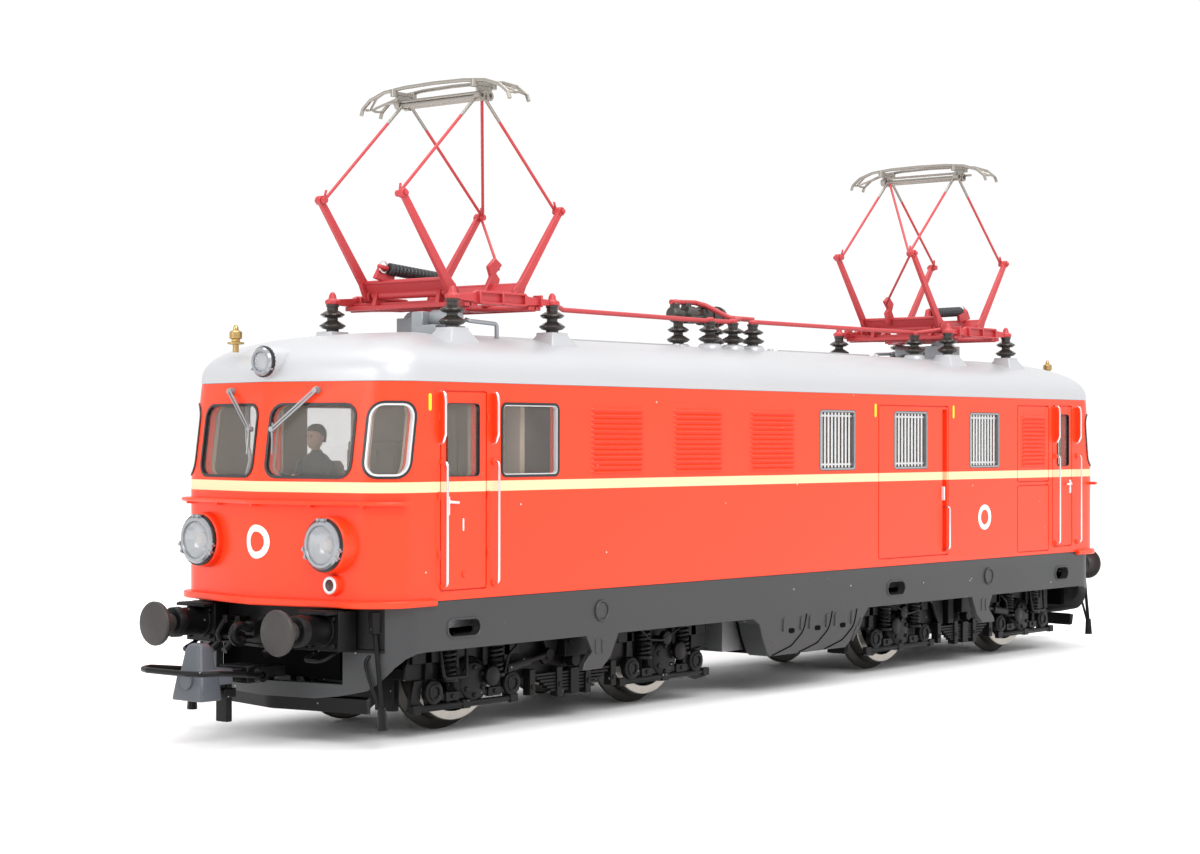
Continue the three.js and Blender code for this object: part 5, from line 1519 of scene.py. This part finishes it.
def makeCabs():
    room, wheels = Shape(), Shape()
    room.box(-79.2, -56.6, -14.2, 14.2, 19.4, 20.2)
    room.prism([(-80.2, 20), (-80.2, 28.6), (-77.6, 28.9), (-75.6, 27.6), (-75.9, 27.0), (-77.2, 26.6),
                (-77.0, 20)],
               "y", -13.2, 13.2)
    for y in (-10.8, -4.4, 4.2, 8.6):
        room.box(-79.4, -77.0, y - 1.5, y + 1.5, 28.4, 29.6)
        room.turned([(0.42, 28.9), (0.42, 29.5), (0.25, 29.7)], (-76.6, y, -0.3), "z", 10)
    room.box(-57.6, -56.7, -14.2, 14.2, 20, 40)
    room.box(-58.1, -57.5, -4.2, 1.2, 21.5, 37.5)
    room.box(-59.6, -57.6, 4.2, 12.6, 20, 33.6)
    for y in (5.4, 8.4, 11.4):
        room.box(-59.9, -59.5, y - 1.1, y + 1.1, 26, 32.6)
    for y in (-7.5, 7.5):
        room.stack([[(x, b, z) for x, b in roundedLoop(-71.6 + dx, -67.2 + dx, y - w, y + w, 0.8, 3)]
                    for z, w, dx in ((24.3, 2.1, 0), (24.7, 2.4, 0), (25.5, 2.3, 0), (25.8, 2.0, 0))])
        room.stack([[(x, b, z) for x, b in roundedLoop(-68.0, -66.9, y - w, y + w, 0.4, 3)]
                    for z, w in ((25.4, 1.9), (26.2, 2.2), (30.6, 2.0), (31.3, 1.4))])
        room.turned([(0.7, 20), (0.5, 24.4)], (-69.3, y, 0), "z", 10)
    wheels.take(tubes([[(-78.6, 10.2, 29.2), (-78.4, 9.6, 31.6), (-78.2, 10.4, 33.4), (-77.2, 11.6, 35.2),
                        (-76.2, 12.6, 37.8)]], 0.24, trimWhite, bend=1.5))
    for y in (-7.5, 7.5):
        wheels.take(hoop([(1.5, -0.14), (1.78, -0.14), (1.78, 0.14), (1.5, 0.14)], (-75.6, y, 29.3), "z", 24))
        for k in range(3):
            a = math.radians(120 * k)
            wheels.rod((-75.6, y, 29.3), (-75.6 + 1.6 * math.cos(a), y + 1.6 * math.sin(a), 29.3), 0.12, 6)
        wheels.rod((-75.6, y, 27.4), (-75.6, y, 29.4), 0.2, 8)
    for end, turn in ends.items():
        piece(f"cabRoom_{end}", room.moved(turn), cabBeige, replaces=f"cab_interior_{end}",
              slot="cab_plastic",
              bevel=0.12)
        piece(f"cabControls_{end}", wheels.moved(turn), trimWhite)


def ovalStack(shape, levels, steps=16):  # levels: height, middle x, middle y, half length, half width
    shape.stack([[(x + a * math.cos(2 * math.pi * i / steps), y + b * math.sin(2 * math.pi * i / steps), z)
                  for i in range(steps)] for z, x, y, a, b in levels])


def makeDriver():
    y = 7.5
    coat, skin, hair, face = Shape(), Shape(), Shape(), Shape()
    ovalStack(coat, [(24.9, -69.6, y, 1.5, 1.8), (26.4, -69.5, y, 1.45, 1.75), (28.4, -69.6, y, 1.4, 1.85),
                     (30.2, -69.8, y, 1.4, 2.2), (31.2, -69.8, y, 1.2, 2.3), (31.9, -69.8, y, 0.9, 1.7),
                     (32.3, -69.8, y, 0.65, 0.8), (32.6, -69.8, y, 0.6, 0.65)])
    for hand in (-1, 1):
        coat.rod((-69.8, y + hand * 2.1, 31.1), (-70.8, y + hand * 2.7, 28.6), 0.72, 10, 0.6)
        coat.rod((-70.8, y + hand * 2.7, 28.6), (-74.3, y + hand * 1.7, 29.4), 0.6, 10, 0.42)
        coat.rod((-70.0, y + hand * 1.0, 25.6), (-73.6, y + hand * 1.1, 25.4), 0.85, 10, 0.7)
        coat.rod((-73.6, y + hand * 1.1, 25.4), (-74.0, y + hand * 1.1, 20.4), 0.65, 10, 0.5)
        ovalStack(skin, [(29.1, -74.8, y + hand * 1.6, 0.35, 0.3), (29.4, -74.8, y + hand * 1.6, 0.5, 0.4),
                         (29.8, -74.9, y + hand * 1.6, 0.3, 0.3)], 10)
    levels = [(32.2, -69.8, 0.5, 0.5), (32.7, -69.9, 0.55, 0.52), (32.9, -70.15, 0.72, 0.62),
              (33.3, -70.1, 0.95, 0.82),
              (33.8, -70.0, 1.08, 0.95), (34.3, -69.9, 1.14, 1.0), (34.8, -69.85, 1.1, 0.97),
              (35.2, -69.8, 0.88, 0.8),
              (35.45, -69.8, 0.5, 0.45)]
    ovalStack(skin, [(z, x, y, a, b) for z, x, a, b in levels], 20)
    skin.stack([[(-71.0, y + 0.13, 33.65), (-71.0, y - 0.13, 33.65), (-71.32, y, 33.72)],
                [(-70.95, y + 0.08, 34.2), (-70.95, y - 0.08, 34.2), (-71.02, y, 34.2)]])
    for hand in (-1, 1):
        ovalStack(skin, [(33.75, -69.8, y + hand * 0.98, 0.14, 0.07),
                         (34.0, -69.8, y + hand * 1.05, 0.2, 0.1),
                         (34.3, -69.75, y + hand * 1.03, 0.15, 0.08)], 8)
        face.rod((-71.0, y + hand * 0.36, 34.16), (-71.06, y + hand * 0.36, 34.16), 0.08, 8)
        face.rod((-71.0, y + hand * 0.22, 34.36), (-70.96, y + hand * 0.52, 34.37), 0.04, 6)
    face.rod((-71.0, y - 0.22, 33.36), (-71.0, y + 0.22, 33.36), 0.035, 6)
    ovalStack(hair, [(33.5, -69.25, y, 0.5, 0.9), (34.0, -69.45, y, 0.85, 1.04), (34.5, -69.6, y, 1.1, 1.1),
                     (34.95, -69.78, y, 1.2, 1.06), (35.3, -69.85, y, 1.05, 0.92), (35.6, -69.8, y, 0.7, 0.6),
                     (35.72, -69.8, y, 0.3, 0.25)], 20)
    piece("driverCoat", coat, jacketPaint, replaces="driver_figure", slot="figure_paint", smooth=70)
    piece("driverSkin", skin, skinPaint, smooth=70)
    piece("driverHair", hair, hairPaint, smooth=70)
    piece("driverFace", face, hairPaint)


makeCabs()
makeDriver()
print("cabs and driver made")


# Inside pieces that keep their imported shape

inside = {"chassis_block": castMetal, "circuit_board": boardGreen, "motor_housing": castMetal,
          "motor_rotor": motorSteel, "cardan_shaft_front": bogieBlack, "cardan_shaft_rear": bogieBlack}
for end in ends:
    inside.update({f"gear_case_{end}": bogieBlack, f"keeper_plate_{end}": bogieBlack, f"worm_{end}": brass,
                   f"worm_wheel_{end}": bogieBlack})
for node, material in inside.items():
    data = nodes[node]
    if not data.material_slots:
        data.data.materials.append(material)
    for slot in data.material_slots:
        slot.material = material
print("inside pieces painted")
